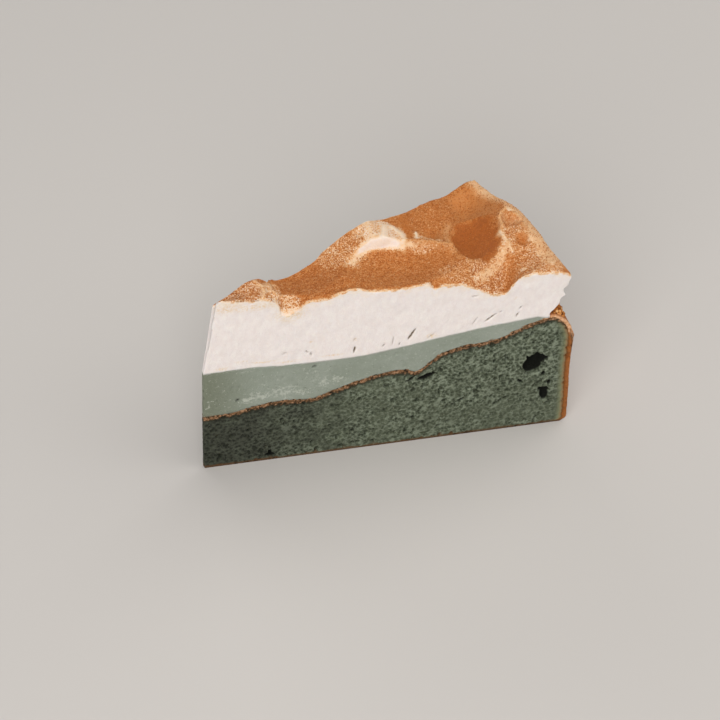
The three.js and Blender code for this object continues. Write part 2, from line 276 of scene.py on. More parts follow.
# %% The marks
SWIPES = [
    dict(at=(29, 8), size=(12, 6.5), depth=1.4, turn=0.35),  # left end of the long swipe
    dict(at=(52, 12), size=(17, 11), depth=3.7, turn=0.03, power=1.25),  # its main part
]
DISHES = [
    dict(at=(74.2, 17), size=(6.7, 10), depth=4.6, turn=-0.3, power=1),  # a spoon's
    dict(at=(78.4, 31.5), size=(7.5, 9), depth=1.7, turn=-0.2),  # far corner
    dict(at=(84.8, 21), size=(3, 2.8), depth=2.3),
    dict(at=(85.8, 13.6), size=(2.4, 2.4), depth=1.6),
    dict(at=(63.9, 22.2), size=(2.8, 2.9), depth=0.9),
    dict(at=(43.7, 22.6), size=(1.9, 2.6), depth=0.5),
    dict(at=(49.3, 23.1), size=(1.3, 2.4), depth=0.5, turn=-0.25),
]
RIDGES = [
    # The sharp lip between the spoon's hollow and the rim, and the crest after it.
    dict(line=[(85.1, 27.3), (84.1, 24.7), (82.6, 23.4), (81.6, 21.6), (81.4, 18.2),
               (80, 16.5)], width=0.8, height=0.7),
    dict(line=[(80.3, 16.2), (81.2, 13.4), (82.2, 10.2)], width=0.6, height=0.6),
    # The soft ridge from there to the near cut, left of the valley.
    dict(line=[(81.5, 12.3), (78.9, 9), (76.6, 6.6), (72.4, 3.6)], width=1.3, height=0.4),
    # Crests on the torn lump, and the low ones to its right.
    dict(line=[(46.3, 25.4), (46.5, 22.6), (47.3, 19.7)], width=0.8, height=0.35),
    dict(line=[(51.5, 24.6), (50.6, 21.8), (50, 19.6)], width=0.9, height=0.35),
    dict(line=[(53.3, 24.6), (55.2, 22), (55.5, 19.2), (54.3, 17.6)], width=0.9, height=0.45),
    dict(line=[(59.5, 22.6), (59.2, 20.6), (59.4, 18.6)], width=0.8, height=0.7),
    dict(line=[(62.2, 21), (63, 18.6), (65, 17)], width=0.8, height=0.5),
    dict(line=[(57.1, 17.7), (60.6, 17), (63.6, 15.8), (66.4, 14.2)], width=1.5, height=1.8),
    # The tip's crest, and a low bump behind it.
    dict(line=[(13.4, 7.1), (14.9, 5.1), (15, 2.3), (14.4, 0.4)], width=0.8, height=0.7),
    dict(line=[(17.6, 8.4), (17.1, 5.8), (17.8, 2.9)], width=1.2, height=0.9),
]
# The front of the raised cream behind the swipe, as (p, q), and its slope's width.
TORN_EDGE = [
    (0, 0.6), (10, 2.8), (18, 5), (28, 8.6), (37, 12.6), (43, 16.6), (47, 18), (55.5, 18.6),
    (60, 18), (66, 17), (72, 21), (84, 33), (96, 36),
]
SLOPE_WIDTH = [
    (0, 1.2), (10, 5.6), (18, 8.4), (28, 12), (36, 10), (39.5, 4), (42.5, 1.7), (55.5, 1.5),
    (60, 7), (72, 20), (96, 21),
]
# Bumps and dips along the near cut's upper edge, as (distance from the tip, height).
# The deepest is a notch by the tip, where the knife took a flake of cream away.
EDGE_BUMPS = [
    (16.4, 0), (18, -0.8), (19, -4.2), (21, -4.9), (23.2, -3.7), (24.8, -1.4), (26.6, -0.5),
    (30.5, 0), (34.2, 1.6), (37.9, 2.4), (41.6, 0.8), (48.5, 0.3), (56, 0.7), (57.3, 0.5),
    (58.8, -1.3), (60.8, -0.5), (64.5, -0.2), (67, 0),
]
# The valley by the wall, as (distance from its bottom, depth at the near cut).
VALLEY = [
    (-13.5, 0), (-10.5, 1.8), (-5.6, 4.3), (0, 6.3), (1.2, 4), (3.4, 1.2), (6, 0),
]
VALLEY_FOOT = 78  # the valley's bottom, along the near cut
VALLEY_SKEW = 0.28  # and how far it moves on with each millimetre inwards
torn_edge = through(TORN_EDGE)
slope_width = through(SLOPE_WIDTH)
edge_bumps = through(EDGE_BUMPS)
valley = through(VALLEY)


def valley_depth(p, q):
    """The valley's depth: its right wall is steep at the near cut and gets wider
    inwards, its left side gets narrower, and it fades out 16 mm in."""
    offset = p - VALLEY_FOOT - VALLEY_SKEW * q
    right = offset / (1 + 0.25 * q)
    left = offset / np.clip(1 - q / 20, 0.3, 1)
    fade = (1 - 0.6 * ease(q / 14)) * (1 - ease((q - 7) / 9))
    return valley(np.where(offset > 0, right, left)) * fade


def cream_roof(along, across):
    """Height of the whipped cream: the near part, with its swipes and the bumps that
    fade out within 3 mm, gives way to the far profile over the torn edge's slope. The
    other marks fade out at the far cut, and the edge by the wall drops by its share
    squared."""
    p, q = plan(along, across)
    front = cream_near(along) + edge_bumps(p) * (1 - ease(q / 3))
    front = front + sum(dish(p, q, **mark) for mark in SWIPES)
    raised = ease((q - torn_edge(p)) / slope_width(p) + 0.5)
    z = mix(front, cream_far(along), raised) - valley_depth(p, q)
    marks = sum(dish(p, q, **mark) for mark in DISHES)
    marks = marks + sum(ridge(p, q, **mark) for mark in RIDGES)
    z = z + marks * (1 - ease((across - 0.9) / 0.1))
    from_lip = np.clip((cream_lip(across) - along) / RIM_BEVEL, 0, 1)
    return z - rim_drop(across) * (1 - from_lip) ** 2


print("cream beside the near cut:", cream_roof(middle, 0.0).round(1))

# %% [markdown]
# ## Unevenness
# Nothing in a cake is smooth or regular. Blender's own noise works one point at a time,
# so two kinds are worked out here for whole arrays at once. Smooth noise makes lumps and
# ripples. Bubbles make the crumb: a knife that passes through a bubble in the sponge
# leaves a round pit, whose depth follows from the bubble's place and size.


# %% Random numbers that stay the same on every run
def chance(cell, seed):
    """A number from 0 to 1 for each cell of three whole numbers: they are multiplied
    by large odd numbers, joined, and stirred by shifts and products."""
    x, y, z = np.moveaxis(cell.astype(np.int64), -1, 0)
    low_bits = 0xFFFFFFFF
    h = (x * 73856093 ^ y * 19349663 ^ z * 83492791 ^ seed * 2654435761) & low_bits
    h = ((h ^ (h >> 15)) * 2246822519) & low_bits
    h = ((h ^ (h >> 13)) * 3266489917) & low_bits
    return (h ^ (h >> 16)) / low_bits


def noise(points, size, seed, octaves=1):
    """Smooth noise from -1 to 1. Each corner of a grid of cells of the given size has
    a random number, and a point takes the eased mean of the eight around it. Each
    further octave is half as coarse and half as strong."""
    total = np.zeros(len(points))
    for octave in range(octaves):
        where = points / (size / 2**octave)
        cell = np.floor(where)
        share = ease(where - cell)
        for corner in np.ndindex(2, 2, 2):
            weight = np.prod(np.where(corner, share, 1 - share), axis=-1)
            value = 2 * chance(cell + corner, seed + octave) - 1
            total += weight * value / 2**octave
    return total


def pits(points, normals, size, share, least, most, seed):
    """How far bubbles reach below a cut surface. Each cell of the given size has one
    bubble at a random place, in the given share of cells, with a radius from least
    to most. A point that has a bubble on the line of its normal goes back along it to
    the bubble's far wall: by a + sqrt(a squared + r squared - d squared), where d is
    its distance from the bubble's middle and a is that distance along the normal. A
    bubble that lies deeper is reached too, so whoever calls this limits the depth."""
    cell = np.floor(points / size)
    depth = np.zeros(len(points))
    for step in np.ndindex(3, 3, 3):
        near = cell + step - 1
        centre = near + np.stack([chance(near, seed + n) for n in (1, 2, 3)], -1)
        radius = mix(least, most, chance(near, seed + 4) ** 2)
        away = points - centre * size
        level = (away * normals).sum(-1)
        inside = level**2 + radius**2 - (away**2).sum(-1)
        reach = level + np.sqrt(np.maximum(inside, 0))
        opened = (chance(near, seed) < share) & (inside > 0)
        depth = np.maximum(depth, np.where(opened, reach, 0))
    return depth


sample = np.random.default_rng(1).uniform(0, 40, (4000, 3))
print("noise runs from", noise(sample, 3, 5).min().round(2), "to",
      noise(sample, 3, 5).max().round(2))

# %% [markdown]
# ## A block bent to shape
# Every layer is a six-sided block: a top, an underside, two cuts, a wall and a tip. A
# subdivided cube would do, but a grid on each side that shares its corners with its
# neighbours gives a closed mesh with the faces exactly where a layer needs them.

# %% The outside of a box of cells
SIDES = ("top", "underside", "near cut", "far cut", "wall", "tip")


def block_skin(nu, nv, nw):
    """Counts (i, j, k) of the corners on the outside of a box of nu x nv x nw cells,
    its faces of four corners, and the number in SIDES of the side that each is on.
    Each side is a grid of faces between neighbouring corners, turned to face outwards.
    The underside is hidden, so it has one long face for each step along, and a fan of
    triangles at each end. A triangle is written with its last corner twice."""
    i, j, k = np.indices((nu + 1, nv + 1, nw + 1))
    kept = (k > 0) & ((i % nu == 0) | (j % nv == 0) | (k == nw))
    kept |= (k == 0) & ((i % nu == 0) | (j % nv == 0))
    number = np.cumsum(kept).reshape(kept.shape) - 1

    def grid(side, inwards):
        ring = [side[:-1, :-1], side[1:, :-1], side[1:, 1:], side[:-1, 1:]]
        if inwards:
            ring.reverse()
        return np.stack(ring, -1).reshape(-1, 4)

    def fan(edge):
        first = np.full(len(edge) - 2, edge[0])
        return np.stack([first, edge[1:-1], edge[2:], edge[2:]], -1)

    grids = [
        grid(number[:, :, nw], False),
        np.concatenate([grid(number[:, [0, nv], 0], True),
                        fan(number[nu, ::-1, 0]), fan(number[0, :, 0])]),
        grid(number[:, 0, :], False),
        grid(number[:, nv, :], True),
        grid(number[nu, :, :], False),
        grid(number[0, :, :], True),
    ]
    side_of = np.repeat(np.arange(6), [len(g) for g in grids])
    return i[kept], j[kept], k[kept], np.concatenate(grids), side_of


def corner_normals(points, quads):
    """The direction that each corner faces: the sum of the cross products of the
    diagonals of its faces, made one long."""
    a, b, c, d = (points[quads[:, n]] for n in range(4))
    across = np.cross(c - a, d - b)
    total = np.zeros_like(points)
    for axis in range(3):
        for n in range(4):
            total[:, axis] += np.bincount(quads[:, n], across[:, axis], len(points))
    return total / np.linalg.norm(total, axis=1, keepdims=True)


print("faces around 2 x 2 x 2 cells:", len(block_skin(2, 2, 2)[3]))


# %% From arrays to a piece
def make_piece(name, points, faces, node=None):
    """A mesh object from points in slice axes and faces of equal size, smooth, riding
    on the slice's one body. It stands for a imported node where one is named."""
    mesh = bpy.data.meshes.new(name)
    mesh.vertices.add(len(points))
    mesh.vertices.foreach_set("co", to_frame(points).astype(np.float32).ravel())
    real = np.ones(faces.shape, bool)
    if faces.shape[1] == 4:
        real[:, 3] = faces[:, 3] != faces[:, 2]
    mesh.loops.add(int(real.sum()))
    mesh.loops.foreach_set("vertex_index", faces[real].astype(np.int32))
    mesh.polygons.add(len(faces))
    starts = np.concatenate([[0], np.cumsum(real.sum(1))[:-1]])
    mesh.polygons.foreach_set("loop_start", starts.astype(np.int32))
    mesh.update(calc_edges=True)
    mesh.validate()
    mesh.shade_smooth()
    piece = bpy.data.objects.new(name, mesh)
    bpy.context.scene.collection.objects.link(piece)
    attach(piece, "root")
    if node:
        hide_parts(node)
    triangles = int(real.sum()) - 2 * len(faces)
    print(f"{name}: {len(points)} corners, {triangles} triangles")
    return piece


def mark_corners(piece, name, values):
    """Stores one number for each corner, for the piece's material to read."""
    attribute = piece.data.attributes.new(name, "FLOAT", "POINT")
    attribute.data.foreach_set("value", np.asarray(values, np.float32))


def stations(tip, end, share, inner, spread):
    """Distance from the tip at a share from 0 to 1: evenly from tip to FILLING_END
    over the inner part of the steps, then on to end as spread says."""
    first = mix(tip, FILLING_END, share / inner)
    last = mix(FILLING_END, end, spread((share - inner) / (1 - inner)))
    return np.where(share < inner, first, last)


def evenly(share):
    return share


def closer_at_end(share):
    return np.sin(np.clip(share, 0, 1) * math.pi / 2)


# %% [markdown]
# ## The sponge
# The sponge is baked in a ring, so its wall and its roof carry a browned crust and the two cuts
# show the crumb. The crumb is fine and even, more open under the roof by the wall, and a few
# large bubbles have left holes in the near cut, whose dark insides are painted shade. The form
# comes first, and the holes and the crumb then push the cut faces in along their normals.

# %% The sponge's form
SPONGE_CELLS = (360, 34, 108)
SPONGE_INNER = 0.86  # share of the cells along it that lie under the mugwort cream
WALL_TOP = SPONGE_LENGTH - crust_wall(SPONGE_WALL)


def sponge_top(along, across):
    """Height of the roof and of the shoulder, which is a quarter of an ellipse."""
    in_shoulder = np.clip(1 - (WALL_TOP - along) / SHOULDER_WIDTH, 0, 1)
    return mix(SPONGE_WALL, sponge_roof(along, across), np.sqrt(1 - in_shoulder**2))


def sponge_shape(u, v, w):
    """Slice axes of a point from its shares along, across and up. The wall and the
    shoulder bend the outer end."""
    above = stations(tip_lean(21), WALL_TOP, u, SPONGE_INNER, closer_at_end)
    foot = SPONGE_LENGTH - FOOT_ROUND
    below = stations(0, foot, u, SPONGE_INNER, closer_at_end)
    wall = SPONGE_LENGTH - crust_wall(w * SPONGE_WALL)
    bulge = (wall - mix(foot, WALL_TOP, w)) * ease((u - SPONGE_INNER) / (1 - SPONGE_INNER))
    p, q = plan(mix(below, above, w) + bulge, v)
    return np.stack([p, q, sponge_top(above, v) * w], -1)


i, j, k, sponge_quads, _ = block_skin(*SPONGE_CELLS)
u, v, w = (count / cells for count, cells in zip((i, j, k), SPONGE_CELLS))
sponge_points = sponge_shape(u, v, w)
sponge_normals = corner_normals(sponge_points, sponge_quads)
on_cut = (v == 0) | (v == 1) | (u == 0)
on_skin = ((w == 1) | (u == 1)) & (w > 0)
print("sponge's reach:", np.ptp(sponge_points, axis=0).round(1))


# %% Large bubbles, holes and cracks in the near cut
# Each is (along the cut, up it), half sizes along and up, depth, and turn on the cut.
HOLES = [
    dict(at=(89.5, 26), size=(3.8, 2.8), depth=4.6, turn=1.3),
    dict(at=(92.2, 27.2), size=(1.4, 1.0), depth=3, turn=0.32),
    dict(at=(93.9, 14.5), size=(1.9, 1.1), depth=2.4, turn=-0.39),
    dict(at=(94.3, 12.4), size=(1.3, 2.7), depth=2, turn=0.2),
    dict(at=(93.0, 21.0), size=(0.7, 1.2), depth=1.2, turn=0.15),
    dict(at=(95.2, 16.9), size=(0.6, 1.2), depth=1.2, turn=0.15),
    dict(at=(86.6, 19.1), size=(1.2, 0.6), depth=1.4, turn=-0.69),
    dict(at=(83.2, 13.2), size=(1.1, 0.5), depth=1.3, turn=0.44),
    dict(at=(70.3, 14.6), size=(1.2, 0.6), depth=1.3, turn=0.62),
    dict(at=(93.3, 3.2), size=(0.7, 0.5), depth=1, turn=0.1),
    dict(at=(57.2, 10.0), size=(0.55, 0.6), depth=1.5),
    dict(at=(17.9, 2.0), size=(1.5, 0.9), depth=2.2, turn=-0.2),
    dict(at=(17.8, 3.2), size=(0.45, 1.0), depth=1.5),
    dict(at=(16.7, 5.9), size=(0.6, 0.45), depth=1),
    dict(at=(59.5, 26.0), size=(2.8, 1.1), depth=2.6, turn=0.4),
    dict(at=(55.6, 26.0), size=(2.0, 0.55), depth=2, turn=0.79),
]


def hole(points, at, size, depth, turn=0.0):
    """Depth of a ragged pit in the near cut: depth times sqrt(1 - r squared), where r
    is measured in half sizes and wobbles by noise."""
    c, s = math.cos(turn), math.sin(turn)
    along, up = points[:, 0] - at[0], points[:, 2] - at[1]
    x = (along * c + up * s) / size[0]
    y = (up * c - along * s) / size[1]
    r = np.hypot(x, y) * (1 + 0.1 * noise(points, 2, 31))
    return depth * np.sqrt(np.maximum(0, 1 - r * r))


def deepest(points, marks, here):
    """Depth of the deepest of the marks at each point, and 0 where here is false."""
    depth = np.zeros(len(points))
    for mark in marks:
        depth = np.maximum(depth, hole(points, **mark))
    return np.where(here, depth, 0)


hole_depth = deepest(sponge_points, HOLES, v == 0)
print("deepest hole:", hole_depth.max().round(1), "mm")

# %% The crumb, and the crust's fine lumps
PIT_LIMIT = 1.1  # depth of the deepest pit in the crumb
# The crumb opens from 40 to 75 mm out and from 10 to 26 mm up. Pits stay off the edges
# by the wall and the roof, where they would leave spikes.
open_crumb = ease((sponge_points[:, 0] - 40) / 35) * ease((sponge_points[:, 2] - 10) / 16)
wide_pits = pits(sponge_points, sponge_normals, size=2.1, share=0.4, least=0.25, most=0.75,
                 seed=21)
off_edges = ease((1 - u) / 0.02) * ease((1 - w) / 0.03)
crumb_depth = np.minimum(wide_pits * mix(0.35, 1, open_crumb), PIT_LIMIT)
crumb_depth = crumb_depth * on_cut * off_edges
crumb_grain = 0.08 * noise(sponge_points, 0.9, 41, 2) * on_cut
crust_lumps = noise(sponge_points, 5, 51, 3) * 0.16 + noise(sponge_points, 1.2, 61) * 0.08
flaky = ease((sponge_points[:, 2] - 30) / 6) * mix(0.15, 0.35, ease(sponge_points[:, 1] / 1.5))
crust_lumps = crust_lumps + flaky * noise(sponge_points, 1.7, 71, 2)
relief = crumb_grain - np.maximum(crumb_depth, hole_depth) + crust_lumps * on_skin
relief[w == 0] = 0
sponge_points = sponge_points + sponge_normals * relief[:, None]
sponge_points[:, 2] = np.maximum(sponge_points[:, 2], 0)

sponge = make_piece("sponge_crumb", sponge_points, sponge_quads, "sponge")


# %% How deep each point of a cut lies below the crust
def wall_at(z):
    """Distance of the outer wall from the tip at a height, shoulder included."""
    over = np.clip((z - SPONGE_WALL) / (SHOULDER_TOP - SPONGE_WALL), 0, 1)
    wall = SPONGE_LENGTH - crust_wall(np.minimum(z, SPONGE_WALL))
    return wall - SHOULDER_WIDTH * (1 - np.sqrt(1 - over**2))


flat_along = from_tip(sponge_points[:, 0], sponge_points[:, 1])
flat_along = flat_along / (1 - FAR_SHORTENING * v)
roof_over = sponge_top(flat_along, v)
roof_depth = np.where(w == 1, 0, np.maximum(roof_over - sponge_points[:, 2], 0))
wall_depth = np.where(u == 1, 0, np.maximum(wall_at(sponge_points[:, 2]) - flat_along, 0))
mark_corners(sponge, "roof_depth", roof_depth)
mark_corners(sponge, "wall_depth", wall_depth)
mark_corners(sponge, "pit_depth", np.maximum(crumb_depth, hole_depth))
mark_corners(sponge, "hole_depth", hole_depth)
mark_corners(sponge, "open_crumb", open_crumb)
# Painted shade: the crumb's colour darkens towards the tip, and near the tip also towards the
# underside.
uneven = 0.25 * noise(sponge_points, 6, 44, 2)
tip_shade = 1 - ease((sponge_points[:, 0] - 6) / 42 + uneven)
low_shade = ease((9 - sponge_points[:, 2]) / 12 + (20 - sponge_points[:, 0]) / 60 + uneven)
tip_shade = np.maximum(tip_shade * 0.9, 0.3 * low_shade * ease((40 - sponge_points[:, 0]) / 20))
mark_corners(sponge, "tip_shade", tip_shade)
outside = ((w == 1) | (u == 1)) & (w > 0) & (flat_along > FILLING_END + THIN_OUT)
mark_corners(sponge, "outside", outside)
shoulder = ease((flat_along - 88.5) / 3) * ease((sponge_points[:, 2] - 35) / 3)
mark_corners(sponge, "shoulder", shoulder * ease((0.7 - sponge_points[:, 1]) / 0.5))
print("mean depth of the crumb's corners below the roof:", roof_depth.mean().round(1), "mm")

# %% [markdown]
# ## The mugwort cream
# A smooth, slightly glossy band of pale green cream. The knife has wiped its cut face nearly
# flat, with a few tiny bubbles. It needs few faces. Its underside reaches a little into the
# sponge, and the whipped cream's reaches a little into it, so that no gap shows.

# %% The mugwort cream's form
FILLING_CELLS = (230, 30, 26)
TUCK = 0.25  # how far a layer reaches into the one below, so that no gap shows
LIFT = 0.02  # keeps this cream just above the sponge where it has thinned to nothing


def filling_shape(u, v, w):
    """Slice axes of a point of the mugwort cream, from its shares along, across and
    up: it lies on the sponge's roof and thins out by the wall."""
    below = mix(tip_lean(21), FILLING_END + THIN_OUT, u)
    above = mix(tip_lean(38), FILLING_END + THIN_OUT, u)
    floor = sponge_roof(below, v) - TUCK
    roof = filling_roof(above, v) + LIFT
    p, q = plan(mix(below, above, w), v)
    return np.stack([p, q, mix(floor, roof, w)], -1)


# Pores in its near cut, as HOLES, and pale smears there, as (along, up) and half sizes.
PORES = [
    dict(at=(28.6, 35.7), size=(0.45, 0.35), depth=1),
    dict(at=(8.4, 26.2), size=(0.35, 0.3), depth=0.7),
    dict(at=(17.2, 33.9), size=(0.2, 0.2), depth=0.4),
]
SMEARS = [
    ((28.8, 33.6), (1.2, 1.0)), ((28.9, 30.5), (0.5, 0.5)), ((6, 35.1), (0.4, 0.4)),
    ((2.1, 32.7), (0.3, 0.3)), ((2.7, 30.8), (0.7, 0.4)), ((5.1, 30.4), (0.4, 0.3)),
    ((26.5, 31.9), (0.3, 0.6)), ((0.8, 24.5), (0.8, 0.5)), ((14.5, 26.6), (4, 1.3)),
    ((20.5, 27.4), (3.5, 2.2)), ((25.5, 26.4), (2.2, 1.4)), ((11, 25.6), (2.5, 1.0)),
    ((35, 29.6), (2, 1.2)), ((31.5, 29), (1.5, 2.2)),
]

i, j, k, filling_quads, _ = block_skin(*FILLING_CELLS)
u, v, w = (count / cells for count, cells in zip((i, j, k), FILLING_CELLS))
filling_points = filling_shape(u, v, w)
filling_normals = corner_normals(filling_points, filling_quads)
on_cut = (v == 0) | (v == 1) | (u == 0)
FILLING_PIT_LIMIT = 0.45  # the blunt tip is only about 1.3 mm thick
filling_pits = pits(filling_points, filling_normals, size=3.2, share=0.12, least=0.1,
                    most=0.4, seed=81)
filling_pits = np.minimum(filling_pits, FILLING_PIT_LIMIT)
pore_depth = deepest(filling_points, PORES, v == 0)
inner = ease(w / 0.1) * ease((1 - w) / 0.1)
relief = 0.05 * noise(filling_points, 2.2, 91, 3) - filling_pits * inner - pore_depth
relief = relief * on_cut
filling_points = filling_points + filling_normals * relief[:, None]
filling = make_piece(
    "mugwort_filling", filling_points, filling_quads, "mugwort_cream"
)


# %% What the mugwort cream's finish reads
def blots(points, places):
    """From 0 to 1, how near each point is to the middle of one of the places on the
    cut: e to the minus (x squared + y squared), both counted in half sizes."""
    found = np.zeros(len(points))
    for (along, up), (half_along, half_up) in places:
        x = (points[:, 0] - along) / half_along
        y = (points[:, 2] - up) / half_up
        found = np.maximum(found, np.exp(-(x * x + y * y)))
    return found


smeared = blots(filling_points, SMEARS)
mark_corners(filling, "smeared", smeared)
# Painted shade in the pores: how deep each one goes, for its dark inside.
mark_corners(filling, "pore_shade", ease(pore_depth / 0.4))
mark_corners(filling, "tip", 1 - ease(filling_points[:, 0] / 16))
print("share of the mugwort cream that is smeared:", (smeared > 0.5).mean().round(2))

# %% [markdown]
# ## The whipped cream
# The tallest layer. Its cuts are drawn smooth by the knife with fine upright ripples,
# its top holds all the marks, and its wall is torn where a lining was pulled away. One
# fine block takes the height field, and noise of different sizes is added on each side.

# %% The whipped cream's form
CREAM_CELLS = (290, 150, 48)
CREAM_INNER = 0.93


def cream_shape(u, v, w):
    """Slice axes of a point of the whipped cream: it lies on the mugwort cream, leans
    back at the tip, and its wall is undercut."""
    below = stations(tip_lean(38), CREAM_FOOT, u, CREAM_INNER, evenly)
    above = stations(tip_lean(64), cream_lip(v), u, CREAM_INNER, evenly)
    floor = filling_roof(below, v) - TUCK
    roof = cream_roof(above, v)
    bulge = -cream_wall(w) * ease((u - CREAM_INNER) / (1 - CREAM_INNER))
    p, q = plan(mix(below, above, w) + bulge, v)
    return np.stack([p, q, mix(floor, roof, w)], -1)


i, j, k, cream_quads, cream_side = block_skin(*CREAM_CELLS)
u, v, w = (count / cells for count, cells in zip((i, j, k), CREAM_CELLS))
cream_points = cream_shape(u, v, w)
cream_normals = corner_normals(cream_points, cream_quads)
on_cut = ((v == 0) | (v == 1) | (u == 0)) & (w < 1)
on_top = w == 1
on_wall = (u == 1) & (w < 1)
print("whipped cream's reach:", np.ptp(cream_points, axis=0).round(1))

# %% Fine slits in the near cut
# Each is (along the cut, up it), half sizes, depth, and turn on the cut.
SLITS = [
    dict(at=(39.0, 40.3), size=(1.3, 0.3), depth=0.8, turn=1.4),
    dict(at=(38.8, 44.3), size=(0.5, 0.35), depth=0.3, turn=0.88),
    dict(at=(54.1, 43.6), size=(2.2, 0.34), depth=1, turn=1.15),
    dict(at=(49.2, 42.1), size=(2.1, 0.25), depth=0.35, turn=1.45),
    dict(at=(46.7, 40.6), size=(0.7, 0.25), depth=0.5, turn=0.79),
    dict(at=(51.0, 40.5), size=(0.45, 0.25), depth=0.6, turn=1.44),
    dict(at=(59.4, 42.0), size=(1.9, 0.3), depth=0.25, turn=0.82),
    dict(at=(75.1, 46.2), size=(2.0, 0.27), depth=0.9, turn=0.78),
    dict(at=(71.0, 45.7), size=(2.0, 0.25), depth=0.3, turn=1.17),
    dict(at=(82.4, 46.1), size=(1.0, 0.25), depth=0.5, turn=1.4),
    dict(at=(83.0, 48.7), size=(0.8, 0.25), depth=0.5, turn=0.98),
    dict(at=(69.9, 55.0), size=(1.2, 0.24), depth=0.35, turn=0.1),
    dict(at=(77.6, 48.1), size=(0.4, 0.25), depth=0.5, turn=0.73),
    dict(at=(26.3, 41.9), size=(0.6, 0.24), depth=0.5, turn=-0.79),
    dict(at=(27.4, 40.8), size=(0.8, 0.24), depth=0.5, turn=-1.2),
    dict(at=(20.4, 42.1), size=(0.8, 0.24), depth=0.3, turn=0.39),
]
# Tan smears of powder on the near cut, as (along the cut, up it) and half sizes.
STAINS = [
    ((81.1, 52.6), (0.35, 0.35)), ((27.2, 45.6), (0.6, 0.3)), ((21.7, 38.9), (2.6, 0.3)),
    ((9.5, 41), (1.6, 0.3)), ((4.2, 39.2), (1.6, 0.5)), ((38.8, 44.3), (0.5, 0.5)),
    ((59.4, 42), (1.4, 0.8)), ((21.5, 56.8), (3.6, 2.2)), ((12, 60.8), (6, 1.1)),
    ((5, 61.5), (3, 1.6)), ((33, 39.4), (2.5, 0.25)), ((14.5, 40), (3, 0.3)),
]


near_cream = (v == 0) & (u > 0)
slit_depth = deepest(cream_points, SLITS, near_cream)
print("deepest slit:", slit_depth.max().round(2), "mm")

# %% Ripples on the cuts, lumps on the top, tears on the wall
torn_area = ease((cream_points[:, 1] - 15) / 4) * ease((cream_points[:, 0] - 38) / 6)
torn_area = torn_area * (1 - ease((cream_points[:, 0] - 66) / 6))
slanted = cream_points @ np.array([[1, 0, 0.25], [0, 1, 0], [-0.35, 0, 0.35]])
ripples = 0.05 * noise(slanted, 1.6, 101, 3) + 0.1 * noise(cream_points, 4, 103, 2)
top_lumps = noise(cream_points, 2.6, 105, 3) * mix(0.1, 0.14, torn_area)
powder_lumps = 0.05 * noise(cream_points, 0.7, 107, 2)
edge_crumbs = 0.22 * noise(cream_points, 1.3, 108, 3) * (1 - ease(cream_points[:, 1] / 1.2))
powder_lumps = powder_lumps + edge_crumbs
tears = (noise(cream_points, 2.4, 109, 3) * 0.55 - 0.2) * mix(1, 0.2, ease((w - 0.75) / 0.2))
relief = ripples * on_cut + (top_lumps + powder_lumps) * on_top + tears * on_wall
relief = relief - slit_depth
relief[w == 0] = 0
cream_points = cream_points + cream_normals * relief[:, None]
cream = make_piece("cream_top", cream_points, cream_quads, "whipped_cream")

# %% [markdown]
# ## Where the powder lies
# The powder was sifted from above. It covers level cream and leaves steep sides and
# sharp crests pale. A cover from the slope alone would miss where the real cream was
# wiped or torn, so places in plan thin it out, and the slope counts on the torn lump.

